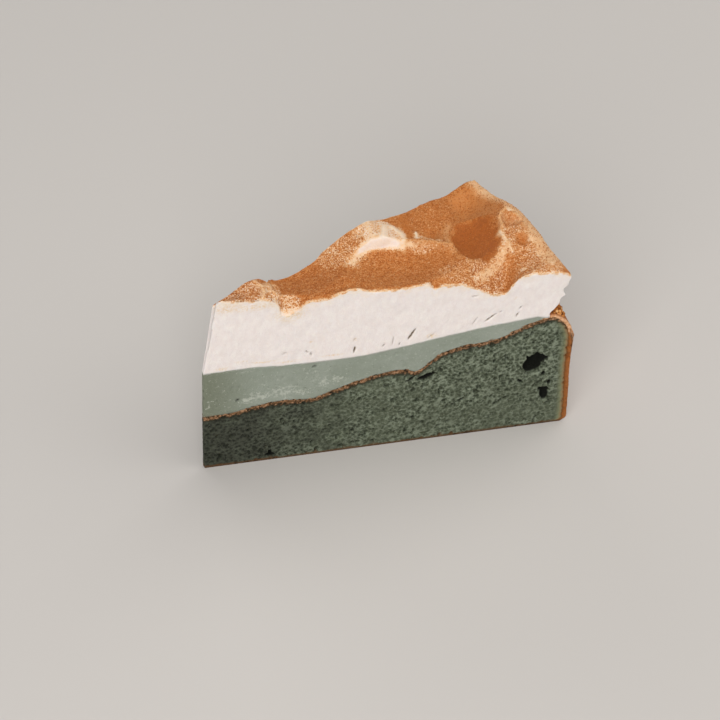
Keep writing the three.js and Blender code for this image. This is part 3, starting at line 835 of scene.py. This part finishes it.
# %% The powder's cover
# Each place is an ellipse or a line in plan. Its cover is 0 where the cream is bare and
# 1 where powder hides it, and its speckle is how much that differs from grain to grain.
# Where two places overlap, the later one counts.
POWDER_PLACES = [
    dict(at=(29, 9), size=(10, 9), cover=0.92, speckle=0.8),  # left end of the swipe
    dict(at=(9, 3.5), size=(11, 7), cover=0.67, speckle=1.8),  # the tip's mound
    dict(at=(17.5, 4.5), size=(2.4, 5), cover=0.4, speckle=1.3),
    dict(at=(38.5, 17), size=(7, 6.5), cover=0.64, speckle=1.2),
    dict(at=(67, 4), size=(7, 4.5), cover=0.74, speckle=1.1),
    dict(at=(73, 9), size=(5, 3.5), cover=0.68, speckle=1.3),
    dict(at=(50.5, 22), size=(7.5, 5.5), cover=0.24, speckle=1.4),  # the torn lump
    dict(at=(43.6, 23.5), size=(2.1, 4), cover=0.42, speckle=1.0),
    dict(at=(48.8, 24), size=(1.4, 1.9), cover=0.34, speckle=1.0),
    dict(line=[(51, 24), (50.4, 21.5), (49.6, 19.3)], width=0.9, cover=0.05, speckle=0.5),
    dict(line=[(44, 17.2), (46.4, 18.3), (49.9, 18.5), (52.8, 18.4), (54.6, 17.4)], width=1.1,
         cover=0.03, speckle=0.3),  # bare cream along the cliff's top
    dict(line=[(44, 17), (41.8, 15), (39.8, 13)], width=1.2, cover=0.26, speckle=0.4),
    dict(at=(61, 18.2), size=(5.2, 4.2), cover=0.54, speckle=1.4),  # low crests beside it
    dict(at=(57.6, 25), size=(1.3, 6), cover=0.9, speckle=0.3),
    dict(at=(64, 22.4), size=(2.6, 2.7), cover=0.85, speckle=0.4),
    dict(at=(84.5, 9), size=(8, 11), cover=0.66, speckle=1.3),  # between valley and rim
    dict(at=(88.5, 3), size=(5.5, 4.5), cover=0.6, speckle=1.3),
    dict(at=(75, 3), size=(6.5, 4.5), cover=0.82, speckle=1.8),  # the valley
    dict(at=(78.4, 32.5), size=(7, 9), turn=-0.2, cover=0.8, speckle=0.2),
    dict(at=(74.2, 17), size=(6.9, 10.2), turn=-0.3, cover=1.08, speckle=0.2),
    dict(at=(84.8, 21), size=(2.9, 2.6), cover=0.6, speckle=0.5),
    dict(at=(85.8, 13.6), size=(2.2, 2.3), cover=0.82, speckle=0.4),
    dict(at=(85.3, 25), size=(1.5, 1.3), cover=0.1, speckle=0.4),  # pale spots by the rim
    dict(at=(88.2, 13.5), size=(0.9, 1.3), cover=0.2, speckle=0.6),
    dict(at=(88.9, 8.4), size=(1, 1.2), cover=0.25, speckle=0.6),
    dict(at=(83.6, 4), size=(1, 1), cover=0.25, speckle=0.7),
    dict(at=(90.6, 3.8), size=(1, 1), cover=0.25, speckle=0.6),
    dict(at=(21.2, 1.8), size=(3.4, 1.7), cover=0.5, speckle=1.4),  # the notch
    dict(at=(21.6, 0), size=(3.6, 1.3), cover=0.16, speckle=1.1),
    dict(at=(57, 0.2), size=(1.9, 1.3), cover=0.35, speckle=1.2),  # a nick in the edge
    dict(line=[(69.1, 25.4), (67.2, 21.4), (66.7, 16.9), (67.4, 12.8)], width=1.1,
         cover=0.6, speckle=0.2),
    dict(line=[(82, 10.5), (80.8, 4.5), (78.4, 0)], width=1.7, cover=0.82, speckle=0.7),
    dict(line=[(81.2, 12.6), (78.9, 9), (76.6, 6.6), (72.4, 3.6), (70, 2.4)], width=0.75,
         cover=0.3, speckle=1.2),
]
# How much powder covers each crest in RIDGES, in the same order.
CREST_COVER = [0.5, 0.15, 0.4, 0.25, 0.1, 0.1, 0.1, 0.3, 0.62, 0.35, 0.4]
STEEP_COVER = 0.05  # on the steep sides of the torn lump
RIM_COVER = 0.42  # by the wall
RIM_START = 87.5  # and the distance from the tip at which that begins


def powder(points, normals):
    """Cover and speckle of each point. Each place pulls both towards its own values,
    fully inside it and less over its uneven edge. The strip by the wall, the crests and
    the lump's steep sides come last."""
    p, q = points[:, 0], points[:, 1]
    uneven = 0.14 * noise(points, 2.2, 111, 3)
    cover = np.full(len(p), 0.87)
    speckle = np.full(len(p), 0.7)
    for place in POWDER_PLACES:
        if "line" in place:
            share = np.exp(-((distance_to_line(p, q, place["line"]) / place["width"]) ** 2))
        else:
            inside = in_ellipse(p, q, place["at"], place["size"], place.get("turn", 0.0))
            share = ease((inside + 2 * uneven) / 0.4)
        cover = mix(cover, place["cover"], share)
        speckle = mix(speckle, place["speckle"], share)
    rim = ease((from_tip(p, q) - RIM_START + 2.5 * uneven) / 3) * ease(q / 6)
    cover = mix(cover, RIM_COVER, rim)
    speckle = mix(speckle, 0.3, rim)
    for crest, bare in zip(RIDGES, CREST_COVER):
        near = distance_to_line(p, q, crest["line"]) / (crest["width"] * (1 + 2 * uneven))
        cover = mix(cover, bare, np.exp(-(near**2)))
        speckle = mix(speckle, 0.4, np.exp(-(near**2)))
    steep = ease((0.78 - normals[:, 2]) / 0.26) * ease((q - 12) / 3) * ease((59 - p) / 3)
    cover = mix(cover, STEEP_COVER, steep)
    return cover, mix(speckle, 0.1, steep)


cream_normals = corner_normals(cream_points, cream_quads)
cover, speckle_share = powder(cream_points, cream_normals)
p, q = cream_points[:, 0], cream_points[:, 1]
below_edge = cream_roof(from_tip(p, q), v) - cream_points[:, 2]
spill = 0.45 * noise(cream_points, 1.3, 113, 3)
edge = mix(0.35, 1, ease((q + spill) / 0.8)) * mix(0.1, 1, ease(u / 0.04))
edge = np.where(on_top, edge, 0)
dusted = (v == 0) & (w < 1) & (u > 0.02)
edge = np.where(dusted, 0.45 * ease((0.5 + 1.4 * spill - below_edge) / 0.5), edge)
edge = np.where(on_wall, ease((w - 0.8) / 0.15) * ease(v / 0.1), edge)
mark_corners(cream, "powder_cover", cover * edge)
mark_corners(cream, "powder_speckle", np.where(on_top, speckle_share, 1))
mark_corners(cream, "stain", blots(cream_points, STAINS) * (v == 0))
above_filling = cream_points[:, 2] - filling_roof(from_tip(p, q), v)
mark_corners(cream, "above_filling", above_filling)
mark_corners(cream, "below_edge", np.where(on_top, 0, below_edge))
mark_corners(cream, "slit_depth", slit_depth)
print("mean cover of the top:", cover[on_top].mean().round(2))

# %% [markdown]
# ## Loose grains and crumbs
# Up close the powder stands on the cream as separate grains, and crumbs of crust cling
# to the sponge's shoulder behind the cream. Instances would be light, but a part has to
# carry its own faces, so each kind is one mesh of many small lumps.

# %% Many small lumps in one mesh
OCTAHEDRON = np.array([(1, 0, 0), (0, 1, 0), (-1, 0, 0), (0, -1, 0), (0, 0, 1), (0, 0, -1)])
OCTAHEDRON_FACES = np.array([
    (0, 1, 4), (1, 2, 4), (2, 3, 4), (3, 0, 4), (1, 0, 5), (2, 1, 5), (3, 2, 5), (0, 3, 5),
])


def finer(corners, faces):
    """The same closed form with each triangle cut in four and its corners on a ball."""
    corners = [tuple(corner) for corner in corners]
    middles = {}

    def middle(a, b):
        key = (min(a, b), max(a, b))
        if key not in middles:
            point = (np.array(corners[a]) + corners[b]) / 2
            middles[key] = len(corners)
            corners.append(tuple(point / np.linalg.norm(point)))
        return middles[key]

    cut = []
    for a, b, c in faces:
        ab, bc, ca = middle(a, b), middle(b, c), middle(c, a)
        cut += [(a, ab, ca), (ab, b, bc), (ca, bc, c), (ab, bc, ca)]
    return np.array(corners), np.array(cut)


def lumps(name, centres, radii, tones, form, unevenness, rng):
    """One mesh of copies of a form, each turned at random, with uneven corners. Each
    keeps its tone from 0 to 1 for the material to read."""
    corners, faces = form
    turn, _ = np.linalg.qr(rng.normal(size=(len(centres), 3, 3)))
    turn = turn * np.sign(np.linalg.det(turn))[:, None, None]
    uneven = 1 + unevenness * rng.uniform(-1, 1, (len(centres), len(corners), 1))
    points = (corners @ turn) * uneven * radii[:, None, None] + centres[:, None]
    all_faces = faces + len(corners) * np.arange(len(centres))[:, None, None]
    piece = make_piece(name, points.reshape(-1, 3), all_faces.reshape(-1, 3))
    mark_corners(piece, "tone", np.repeat(tones, len(corners)))
    return piece


# %% Powder grains on the cream
GRAINS = 14000
GRAIN_RADIUS = (0.08, 0.2)
rng = np.random.default_rng(7)
top_quads = cream_quads[cream_side == SIDES.index("top")]
a, b, c, d = (cream_points[top_quads[:, n]] for n in range(4))
area = np.linalg.norm(np.cross(c - a, d - b), axis=1) / 2
on_quad = (cover * np.where(q < 0.3, 0, 1))[top_quads].mean(1)
weight = area * ease((on_quad - 0.12) / 0.5)
chosen = rng.choice(len(top_quads), GRAINS, p=weight / weight.sum())
f, g = rng.uniform(0, 1, (2, GRAINS, 1))
centres = mix(mix(a[chosen], b[chosen], f), mix(d[chosen], c[chosen], f), g)
lightness = rng.uniform(0, 1, GRAINS)
lightness = np.clip(lightness * (1.1 - 0.5 * on_quad[chosen]), 0, 1)
radii = mix(*GRAIN_RADIUS, rng.uniform(0, 1, GRAINS) ** 2)
grains_piece = lumps("powder_grains", centres, radii, lightness,
                     (OCTAHEDRON, OCTAHEDRON_FACES), 0.25, rng)

# %% Crumbs of crust on the shoulder
# A heap beside the near cut, and fewer and smaller crumbs on towards the far cut.
HEAP = 280
STRAY = 220
HEAP_RADIUS = 0.45
STRAY_RADIUS = 0.28
HEAP_AT = (94.1, 3.0)
HEAP_SPREAD = (0.95, 1.5)
HEAP_HEIGHT = 2.4
HEAP_EDGE = 0.9  # the heap keeps this far from the near cut
heap = rng.normal(0, 1, (HEAP, 2)) * HEAP_SPREAD + HEAP_AT
heap[:, 1] = np.abs(heap[:, 1] - HEAP_EDGE) + HEAP_EDGE
stray_along = rng.uniform(92, 95.5, STRAY)
stray = np.stack(plan(stray_along, rng.uniform(0.08, 0.97, STRAY)), -1)
flat = np.concatenate([heap, stray])
along = from_tip(flat[:, 0], flat[:, 1])
across = np.arctan2(flat[:, 1], flat[:, 0] + TIP_CUT) / WEDGE
along = along / (1 - FAR_SHORTENING * across)
ground = sponge_top(along, across)
off_heap = np.hypot(*((flat - HEAP_AT) / HEAP_SPREAD).T)
heap_height = HEAP_HEIGHT * np.exp(-(off_heap**2) / 2) * rng.uniform(0.1, 1, len(flat))
heap_height[HEAP:] = 0
largest = np.where(np.arange(len(flat)) < HEAP, HEAP_RADIUS, STRAY_RADIUS)
crumb_radii = largest * rng.uniform(0.55, 1.2, len(flat))
centres = np.column_stack([flat, ground + heap_height + 0.3 * crumb_radii])
crust_crumbs = lumps("crust_crumbs", centres, crumb_radii, rng.uniform(0, 1, len(flat)),
                     finer(OCTAHEDRON, OCTAHEDRON_FACES), 0.3, rng)

# %% [markdown]
# ## Finishes
# Each finish is a tree of shader nodes. Patterns read the object's own coordinates, in
# metres, so a pattern's size is given in millimetres and turned into a scale. Colours
# are written as they look on a screen, from 0 to 255, and turned into the linear
# numbers that the shader needs.


# %% Small helpers for node trees
def colour(red, green, blue):
    """Linear red, green, blue and alpha from screen values of 0 to 255."""
    part = np.array([red, green, blue]) / 255
    linear = np.where(part <= 0.04045, part / 12.92, ((part + 0.055) / 1.055) ** 2.4)
    return (*linear.tolist(), 1.0)


def new_finish(name):
    """A material with its node tree and its Principled shader."""
    material = bpy.data.materials.new(name)
    material.use_nodes = True
    tree = material.node_tree
    return material, tree, tree.nodes["Principled BSDF"]


def put(tree, socket, value):
    """Links a socket to another node's output, or sets its number or colour."""
    if isinstance(value, bpy.types.NodeSocket):
        tree.links.new(value, socket)
    else:
        socket.default_value = value


def place_on(tree):
    return tree.nodes.new("ShaderNodeTexCoord").outputs["Object"]


def math_node(tree, operation, first, second=0.0):
    node = tree.nodes.new("ShaderNodeMath")
    node.operation = operation
    put(tree, node.inputs[0], first)
    put(tree, node.inputs[1], second)
    return node.outputs[0]


def plus_share(tree, first, second, share):
    """first + share times second, where each may be a number or a node's output."""
    return math_node(tree, "ADD", first, math_node(tree, "MULTIPLY", second, share))


def noise_node(tree, size, detail=3.0, roughness=0.6, stretch=None):
    """Blender's noise with features of about size millimetres, as a number of about
    0.3 to 0.7. Stretch divides the pattern's size along X, Y and Z."""
    where = place_on(tree)
    if stretch:
        mapping = tree.nodes.new("ShaderNodeMapping")
        mapping.inputs["Scale"].default_value = stretch
        tree.links.new(where, mapping.inputs["Vector"])
        where = mapping.outputs["Vector"]
    node = tree.nodes.new("ShaderNodeTexNoise")
    node.inputs["Scale"].default_value = 1 / (size * MM)
    node.inputs["Detail"].default_value = detail
    node.inputs["Roughness"].default_value = roughness
    tree.links.new(where, node.inputs["Vector"])
    return node.outputs["Fac"]


def bubble_node(tree, size, bend):
    """Distance to the middle of the nearest of many scattered points, about size
    millimetres apart, as a share of that size. Noise first moves each place by up to
    half of bend millimetres, so that the bubbles aren't round."""
    wander = tree.nodes.new("ShaderNodeTexNoise")
    wander.inputs["Scale"].default_value = 1 / (1.5 * size * MM)
    wander.inputs["Detail"].default_value = 2.0
    tree.links.new(place_on(tree), wander.inputs["Vector"])
    shift = tree.nodes.new("ShaderNodeVectorMath")
    shift.operation = "MULTIPLY_ADD"
    shift.inputs[1].default_value = (bend * MM,) * 3
    tree.links.new(wander.outputs["Color"], shift.inputs[0])
    tree.links.new(place_on(tree), shift.inputs[2])
    node = tree.nodes.new("ShaderNodeTexVoronoi")
    node.inputs["Scale"].default_value = 1 / (size * MM)
    tree.links.new(shift.outputs["Vector"], node.inputs["Vector"])
    return node.outputs["Distance"]


def attribute_node(tree, name):
    node = tree.nodes.new("ShaderNodeAttribute")
    node.attribute_name = name
    return node.outputs["Fac"]


def step_node(tree, value, low, high, out_low=0.0, out_high=1.0):
    """out_low where value is under low, out_high over high, and eased between."""
    node = tree.nodes.new("ShaderNodeMapRange")
    node.interpolation_type = "SMOOTHSTEP"
    put(tree, node.inputs["Value"], value)
    node.inputs["From Min"].default_value = low
    node.inputs["From Max"].default_value = high
    node.inputs["To Min"].default_value = out_low
    node.inputs["To Max"].default_value = out_high
    return node.outputs["Result"]


def ramp_node(tree, value, stops):
    """Colours along a number from 0 to 1, as (position, colour)."""
    node = tree.nodes.new("ShaderNodeValToRGB")
    elements = node.color_ramp.elements
    while len(elements) < len(stops):
        elements.new(1)
    for element, (position, shade) in zip(elements, stops):
        element.position = position
        element.color = shade
    put(tree, node.inputs["Fac"], value)
    return node.outputs["Color"]


MIX_FIRST, MIX_SECOND = 6, 7  # a Mix node's colour inputs, among those of all types
MIX_RESULT = 2  # and its colour output


def mix_node(tree, share, first, second, blend="MIX"):
    node = tree.nodes.new("ShaderNodeMix")
    node.data_type = "RGBA"
    node.blend_type = blend
    put(tree, node.inputs["Factor"], share)
    put(tree, node.inputs[MIX_FIRST], first)
    put(tree, node.inputs[MIX_SECOND], second)
    return node.outputs[MIX_RESULT]


def bump_node(tree, height, depth):
    """A normal from a height of 0 to 1 that stands for the given millimetres."""
    node = tree.nodes.new("ShaderNodeBump")
    node.inputs["Strength"].default_value = 1.0
    node.inputs["Distance"].default_value = depth * MM
    put(tree, node.inputs["Height"], height)
    return node.outputs["Normal"]


def set_surface(shader, roughness, specular, scatter=0.0, radius=None):
    """What is the same all over: roughness, shine, how much light goes in below the
    surface, and how far it gets for red, green and blue, in millimetres."""
    shader.inputs["Roughness"].default_value = roughness
    shader.inputs["Specular IOR Level"].default_value = specular
    if radius:
        shader.inputs["Subsurface Weight"].default_value = scatter
        shader.inputs["Subsurface Radius"].default_value = radius
        shader.inputs["Subsurface Scale"].default_value = MM


print("a middle grey, as the shader needs it:", colour(128, 128, 128))


# %% [markdown]
# ### Crumb and crust
# The crumb is a grey-green with darker pores and paler walls between them. Painted shade darkens
# it towards the tip and the underside, deepens the pits and turns the large holes nearly black.
# The crust is a thin skin that bakes from tan through rust to brown, so on the cut it is a
# narrow, uneven line below the roof with a dark band of painted shade under it, a wider band
# inside the wall, and a hair line above the underside.

# %% The sponge's finish
crumb_finish, tree, shader = new_finish("Mugwort_crumb_and_crust")
grain = noise_node(tree, 0.45, 4.0, 0.7)
bubble = bubble_node(tree, 1.0, 0.7)
coarse = noise_node(tree, 1.9, 2.0, 0.6)
open_or_not = plus_share(tree, math_node(tree, "MULTIPLY", bubble, 0.55), grain, 0.9)
open_or_not = plus_share(tree, open_or_not, coarse, 0.36)
open_or_not = math_node(tree, "SUBTRACT", open_or_not, 0.08)
crumb = ramp_node(tree, open_or_not, [
    (0.56, colour(38, 44, 32)),
    (0.68, colour(66, 73, 58)),
    (0.80, colour(90, 99, 81)),
    (0.90, colour(109, 118, 100)),
    (1.00, colour(134, 144, 125)),
])
patches = noise_node(tree, 6.0, 3.0)
closed = step_node(tree, patches, 0.36, 0.68, 0.55, 0.05)
opened = math_node(tree, "MULTIPLY", attribute_node(tree, "open_crumb"), 0.3)
closed = math_node(tree, "SUBTRACT", closed, opened)
closed = math_node(tree, "MAXIMUM", closed, 0.0)
crumb = mix_node(tree, closed, crumb, colour(87, 94, 76))
# Painted shade: a darker copy of the crumb, mixed in towards the tip and the underside.
shaded_crumb = ramp_node(tree, open_or_not, [
    (0.58, colour(23, 25, 19)),
    (0.95, colour(61, 64, 54)),
])
crumb = mix_node(tree, attribute_node(tree, "tip_shade"), crumb, shaded_crumb)
# Painted shade: the crumb darkens with the depth of each pit, and the large holes go nearly
# black.
pit = attribute_node(tree, "pit_depth")
crumb = mix_node(tree, step_node(tree, pit, 0.15, 0.9, 0.0, 0.55), crumb, colour(38, 43, 32))
hole_below = attribute_node(tree, "hole_depth")
crumb = mix_node(tree, step_node(tree, hole_below, 0.2, 1.0), crumb, colour(12, 15, 8))
roof_below = attribute_node(tree, "roof_depth")
wall_inside = attribute_node(tree, "wall_depth")
shoulder_here = attribute_node(tree, "shoulder")
wobble = noise_node(tree, 1.2, 3.0, 0.7)
wall_wobbled = plus_share(tree, wall_inside, wobble, 1.0)
wall_share = math_node(tree, "DIVIDE", wall_wobbled, 6.0)
wall_band = ramp_node(tree, wall_share, [
    (0.10, colour(158, 98, 50)),
    (0.23, colour(150, 92, 44)),
    (0.29, colour(112, 70, 28)),
    (0.36, colour(142, 122, 88)),
    (0.46, colour(124, 128, 98)),
    (0.66, colour(98, 106, 86)),
])
finish = mix_node(tree, step_node(tree, wall_inside, 1.9, 4.2), wall_band, crumb)
roof_wobbled = plus_share(tree, roof_below, wobble, 2.4)
# Painted shade: a dark band just under the crust line below the roof.
shade_under_crust = step_node(tree, roof_wobbled, 2.8, 4.2, 0.85, 0.0)
finish = mix_node(tree, shade_under_crust, finish, colour(34, 34, 20))
blobs = noise_node(tree, 0.7, 2.0, 0.6)
rust = ramp_node(tree, blobs, [
    (0.36, colour(46, 33, 19)),
    (0.45, colour(98, 71, 45)),
    (0.54, colour(130, 96, 65)),
    (0.66, colour(176, 138, 106)),
])
finish = mix_node(tree, step_node(tree, roof_wobbled, 2.4, 3.1, 1.0, 0.0), finish, rust)
baked = ramp_node(tree, noise_node(tree, 2.2, 5.0, 0.75), [
    (0.32, colour(104, 58, 24)),
    (0.44, colour(146, 86, 40)),
    (0.54, colour(168, 104, 54)),
    (0.68, colour(198, 140, 86)),
])
finish = mix_node(tree, attribute_node(tree, "outside"), finish, baked)
peach = ramp_node(tree, blobs, [
    (0.36, colour(192, 132, 82)),
    (0.56, colour(229, 182, 142)),
])
edge_near = math_node(tree, "MINIMUM", wall_wobbled, roof_wobbled)
by_edge = step_node(tree, edge_near, 1.4, 1.8, 1.0, 0.0)
pale_edge = math_node(tree, "MULTIPLY", shoulder_here, by_edge)
finish = mix_node(tree, pale_edge, finish, peach)
separate = tree.nodes.new("ShaderNodeSeparateXYZ")
tree.links.new(place_on(tree), separate.inputs[0])
base_up = plus_share(tree, separate.outputs["Z"], noise_node(tree, 3.0, 3.0), 1.4 * MM)
at_base = step_node(tree, base_up, 1.1 * MM, 1.9 * MM, 0.85, 0.0)
finish = mix_node(tree, at_base, finish, colour(96, 68, 42))
put(tree, shader.inputs["Base Color"], finish)
set_surface(shader, 0.85, 0.25, 0.08, (0.6, 0.5, 0.3))
put(tree, shader.inputs["Normal"], bump_node(tree, open_or_not, 0.3))
sponge.data.materials.append(crumb_finish)
print("finish:", crumb_finish.name)

# %% [markdown]
# ### Mugwort cream
# Pale green-grey and satin. The knife has dragged lighter cream into it as thin smears.

# %% The mugwort cream's finish
filling_finish, tree, shader = new_finish("Mugwort_cream")
tone = ramp_node(tree, noise_node(tree, 7.0, 4.0, 0.7), [
    (0.35, colour(138, 147, 134)),
    (0.65, colour(150, 158, 147)),
])
tone = mix_node(tree, attribute_node(tree, "tip"), tone, colour(117, 124, 107))
fine = noise_node(tree, 1.1, 5.0, 0.8)
spread = plus_share(tree, fine, attribute_node(tree, "smeared"), 0.17)
wisps = step_node(tree, spread, 0.575, 0.69, 0.0, 0.7)
tone = mix_node(tree, wisps, tone, colour(188, 193, 182))
flecks = noise_node(tree, 0.5, 2.0, 0.5, (1.0, 1.0, 1.3))
tone = mix_node(tree, step_node(tree, flecks, 0.70, 0.75, 0.0, 0.7), tone, colour(212, 215, 206))
dots = noise_node(tree, 0.55, 1.0, 0.5)
tone = mix_node(tree, step_node(tree, dots, 0.24, 0.28, 0.6, 0.0), tone, colour(88, 94, 80))
# Painted shade: the pores' insides are near black.
tone = mix_node(tree, attribute_node(tree, "pore_shade"), tone, colour(22, 26, 18))
put(tree, shader.inputs["Base Color"], tone)
set_surface(shader, 0.5, 0.35, 0.2, (1.0, 1.0, 0.8))
put(tree, shader.inputs["Normal"], bump_node(tree, noise_node(tree, 0.6, 3.0), 0.12))
filling.data.materials.append(filling_finish)
print("finish:", filling_finish.name)

# %% [markdown]
# ### Whipped cream and powder
# The cream is a warm white with faint lilac and yellow streaks. The powder is
# golden-brown, and a fine noise decides grain by grain whether it hides the cream, so
# that thin places come out speckled and not just paler.

# %% The whipped cream's finish
cream_finish, tree, shader = new_finish("Whipped_cream_and_soybean_powder")
streaks = noise_node(tree, 1.6, 5.0, 0.75, (1.0, 1.0, 0.6))
white = ramp_node(tree, streaks, [
    (0.34, colour(234, 226, 223)),
    (0.50, colour(238, 231, 228)),
    (0.66, colour(242, 237, 233)),
])
warm = step_node(tree, attribute_node(tree, "below_edge"), 0.3, 4.0, 0.5, 0.0)
patchy = step_node(tree, noise_node(tree, 3.2, 3.0, 0.6), 0.42, 0.62)
white = mix_node(tree, math_node(tree, "MULTIPLY", warm, patchy), white, colour(240, 223, 200))
stain_noise = step_node(tree, noise_node(tree, 0.6, 3.0, 0.7), 0.44, 0.60, 0.15, 1.0)
stain = math_node(tree, "MULTIPLY", attribute_node(tree, "stain"), stain_noise)
white = mix_node(tree, math_node(tree, "MULTIPLY", stain, 0.75), white, colour(226, 194, 140))
# Painted shade inside the fine slits.
slit_shade = step_node(tree, attribute_node(tree, "slit_depth"), 0.05, 0.55, 0.0, 0.95)
white = mix_node(tree, slit_shade, white, colour(98, 80, 50))
touched = step_node(tree, attribute_node(tree, "above_filling"), -0.1, 0.55, 0.8, 0.0)
white = mix_node(tree, touched, white, colour(184, 187, 178))
grains = noise_node(tree, 0.36, 2.0, 0.75)
coarse = noise_node(tree, 1.3, 2.0, 0.6)
grain = plus_share(tree, math_node(tree, "MULTIPLY", grains, 3.2), coarse, 0.8)
grain = math_node(tree, "SUBTRACT", grain, 2.0)
amount = attribute_node(tree, "powder_cover")
speckled = math_node(tree, "MULTIPLY", grain, attribute_node(tree, "powder_speckle"))
gate = step_node(tree, amount, 0.0, 0.2)
reach = plus_share(tree, amount, speckled, gate)
reach = math_node(tree, "DIVIDE", reach, 1.4)
dusting = ramp_node(tree, reach, [
    (0.00, colour(243, 231, 219)),
    (0.14, colour(244, 216, 180)),
    (0.29, colour(233, 193, 149)),
    (0.39, colour(220, 166, 114)),
    (0.50, colour(208, 147, 90)),
    (0.61, colour(200, 129, 65)),
    (0.72, colour(188, 109, 42)),
    (0.90, colour(146, 78, 28)),
])
tone = ramp_node(tree, grains, [
    (0.34, colour(240, 229, 216)),
    (0.66, colour(255, 255, 255)),
])
dusting = mix_node(tree, 1.0, dusting, tone, "MULTIPLY")
powder_share = step_node(tree, amount, 0.0, 0.12)
put(tree, shader.inputs["Base Color"], mix_node(tree, powder_share, white, dusting))
set_surface(shader, 0.7, 0.3, 0.2, (1.2, 1.0, 0.8))
put(tree, shader.inputs["Normal"], bump_node(tree, grains, 0.12))
cream.data.materials.append(cream_finish)
print("finish:", cream_finish.name)

# %% [markdown]
# ### Grains and crumbs
# Both take their colour from the tone of each lump, from dark roasted to pale.


# %% The finishes of grains and crumbs
def lump_finish(name, piece, stops):
    """A dry, matt finish whose colour follows the lump's tone."""
    finish, tree, shader = new_finish(name)
    put(tree, shader.inputs["Base Color"], ramp_node(tree, attribute_node(tree, "tone"), stops))
    set_surface(shader, 0.85, 0.2)
    piece.data.materials.append(finish)
    print("finish:", finish.name)


lump_finish("Soybean_powder_grains", grains_piece, [
    (0.00, colour(152, 86, 38)),
    (0.35, colour(182, 110, 54)),
    (0.70, colour(208, 144, 84)),
    (0.90, colour(234, 194, 146)),
    (1.00, colour(250, 232, 206)),
])
lump_finish("Crust_crumbs", crust_crumbs, [
    (0.00, colour(96, 50, 20)),
    (0.45, colour(172, 106, 46)),
    (0.80, colour(204, 142, 76)),
    (1.00, colour(220, 170, 114)),
])

# %% [markdown]
# ## Floor, light and camera
# The slice stands on a plain pale floor. One large soft light comes from above and to
# the right, one fills from the front, and a weak one keeps the back from going dark.
# The camera looks down from the front left, as the photograph does, with a long lens
# and a slight roll.

# %% The floor
FLOOR_REACH = 3.0  # metres to each side, past what the camera sees
floor_mesh = bpy.data.meshes.new("floor")
corners = [(x * FLOOR_REACH, y * FLOOR_REACH, 0) for x, y in ((-1, -1), (1, -1), (1, 1), (-1, 1))]
floor_mesh.from_pydata(corners, [], [(0, 1, 2, 3)])
floor = bpy.data.objects.new("floor", floor_mesh)
bpy.context.scene.collection.objects.link(floor)
print("floor:", 2 * FLOOR_REACH, "m wide")
floor_finish, tree, shader = new_finish("Pale_floor")
shader.inputs["Base Color"].default_value = colour(196, 194, 191)
shader.inputs["Roughness"].default_value = 0.9
floor_mesh.materials.append(floor_finish)


# %% The lights
def towards(azimuth, elevation):
    """A direction one long, seen from the slice. Azimuth 0 is -Y, 90 is +X."""
    a, e = math.radians(azimuth), math.radians(elevation)
    return Vector((math.sin(a) * math.cos(e), -math.cos(a) * math.cos(e), math.sin(e)))


def soft_light(name, azimuth, elevation, distance, size, power, shade):
    """A square area light that faces the slice from the given direction."""
    data = bpy.data.lights.new(name, "AREA")
    data.size = size
    data.energy = power
    data.color = shade[:3]
    light = bpy.data.objects.new(name, data)
    light.location = towards(azimuth, elevation) * distance
    light.rotation_euler = light.location.to_track_quat("Z", "Y").to_euler()
    bpy.context.scene.collection.objects.link(light)
    return light


soft_light("key", 80, 58, 1.1, 1.5, 9.1, colour(255, 250, 244))
soft_light("fill", -40, 38, 1.2, 0.9, 10.9, colour(255, 250, 246))
soft_light("back", 190, 20, 1.3, 0.9, 3.5, colour(255, 250, 246))
world = bpy.data.worlds.new("studio")
world.use_nodes = True
world.node_tree.nodes["Background"].inputs["Color"].default_value = colour(214, 214, 216)
world.node_tree.nodes["Background"].inputs["Strength"].default_value = 0.3
bpy.context.scene.world = world
print("lights:", [light.name for light in bpy.data.lights])
bpy.context.scene.view_settings.view_transform = "Standard"

# %% The camera
VIEW_TURN = -16.9  # degrees from squarely in front of the near cut, to the tip's side
VIEW_ELEVATION = 47.5
VIEW_ROLL = math.radians(5.5)
VIEW_DISTANCE = 0.5714
VIEW_CENTRE = (50.36, 31.66, 0)  # in the slice's own axes, in millimetres
look_at = Vector(to_frame(np.array([VIEW_CENTRE]))[0])
backwards = towards(VIEW_TURN - math.degrees(WEDGE / 2), VIEW_ELEVATION)
level = Vector((0, 0, 1)).cross(backwards).normalized()
upwards = backwards.cross(level)
camera_x = level * math.cos(VIEW_ROLL) + upwards * math.sin(VIEW_ROLL)
camera_y = upwards * math.cos(VIEW_ROLL) - level * math.sin(VIEW_ROLL)
camera_data = bpy.data.cameras.new("camera")
camera_data.lens = 100
camera_data.sensor_width = 36
camera = bpy.data.objects.new("camera", camera_data)
place = Matrix((camera_x, camera_y, backwards)).transposed().to_4x4()
place.translation = look_at + backwards * VIEW_DISTANCE
camera.matrix_world = place
bpy.context.scene.collection.objects.link(camera)
bpy.context.scene.camera = camera
print("camera at", [round(c, 3) for c in place.translation])
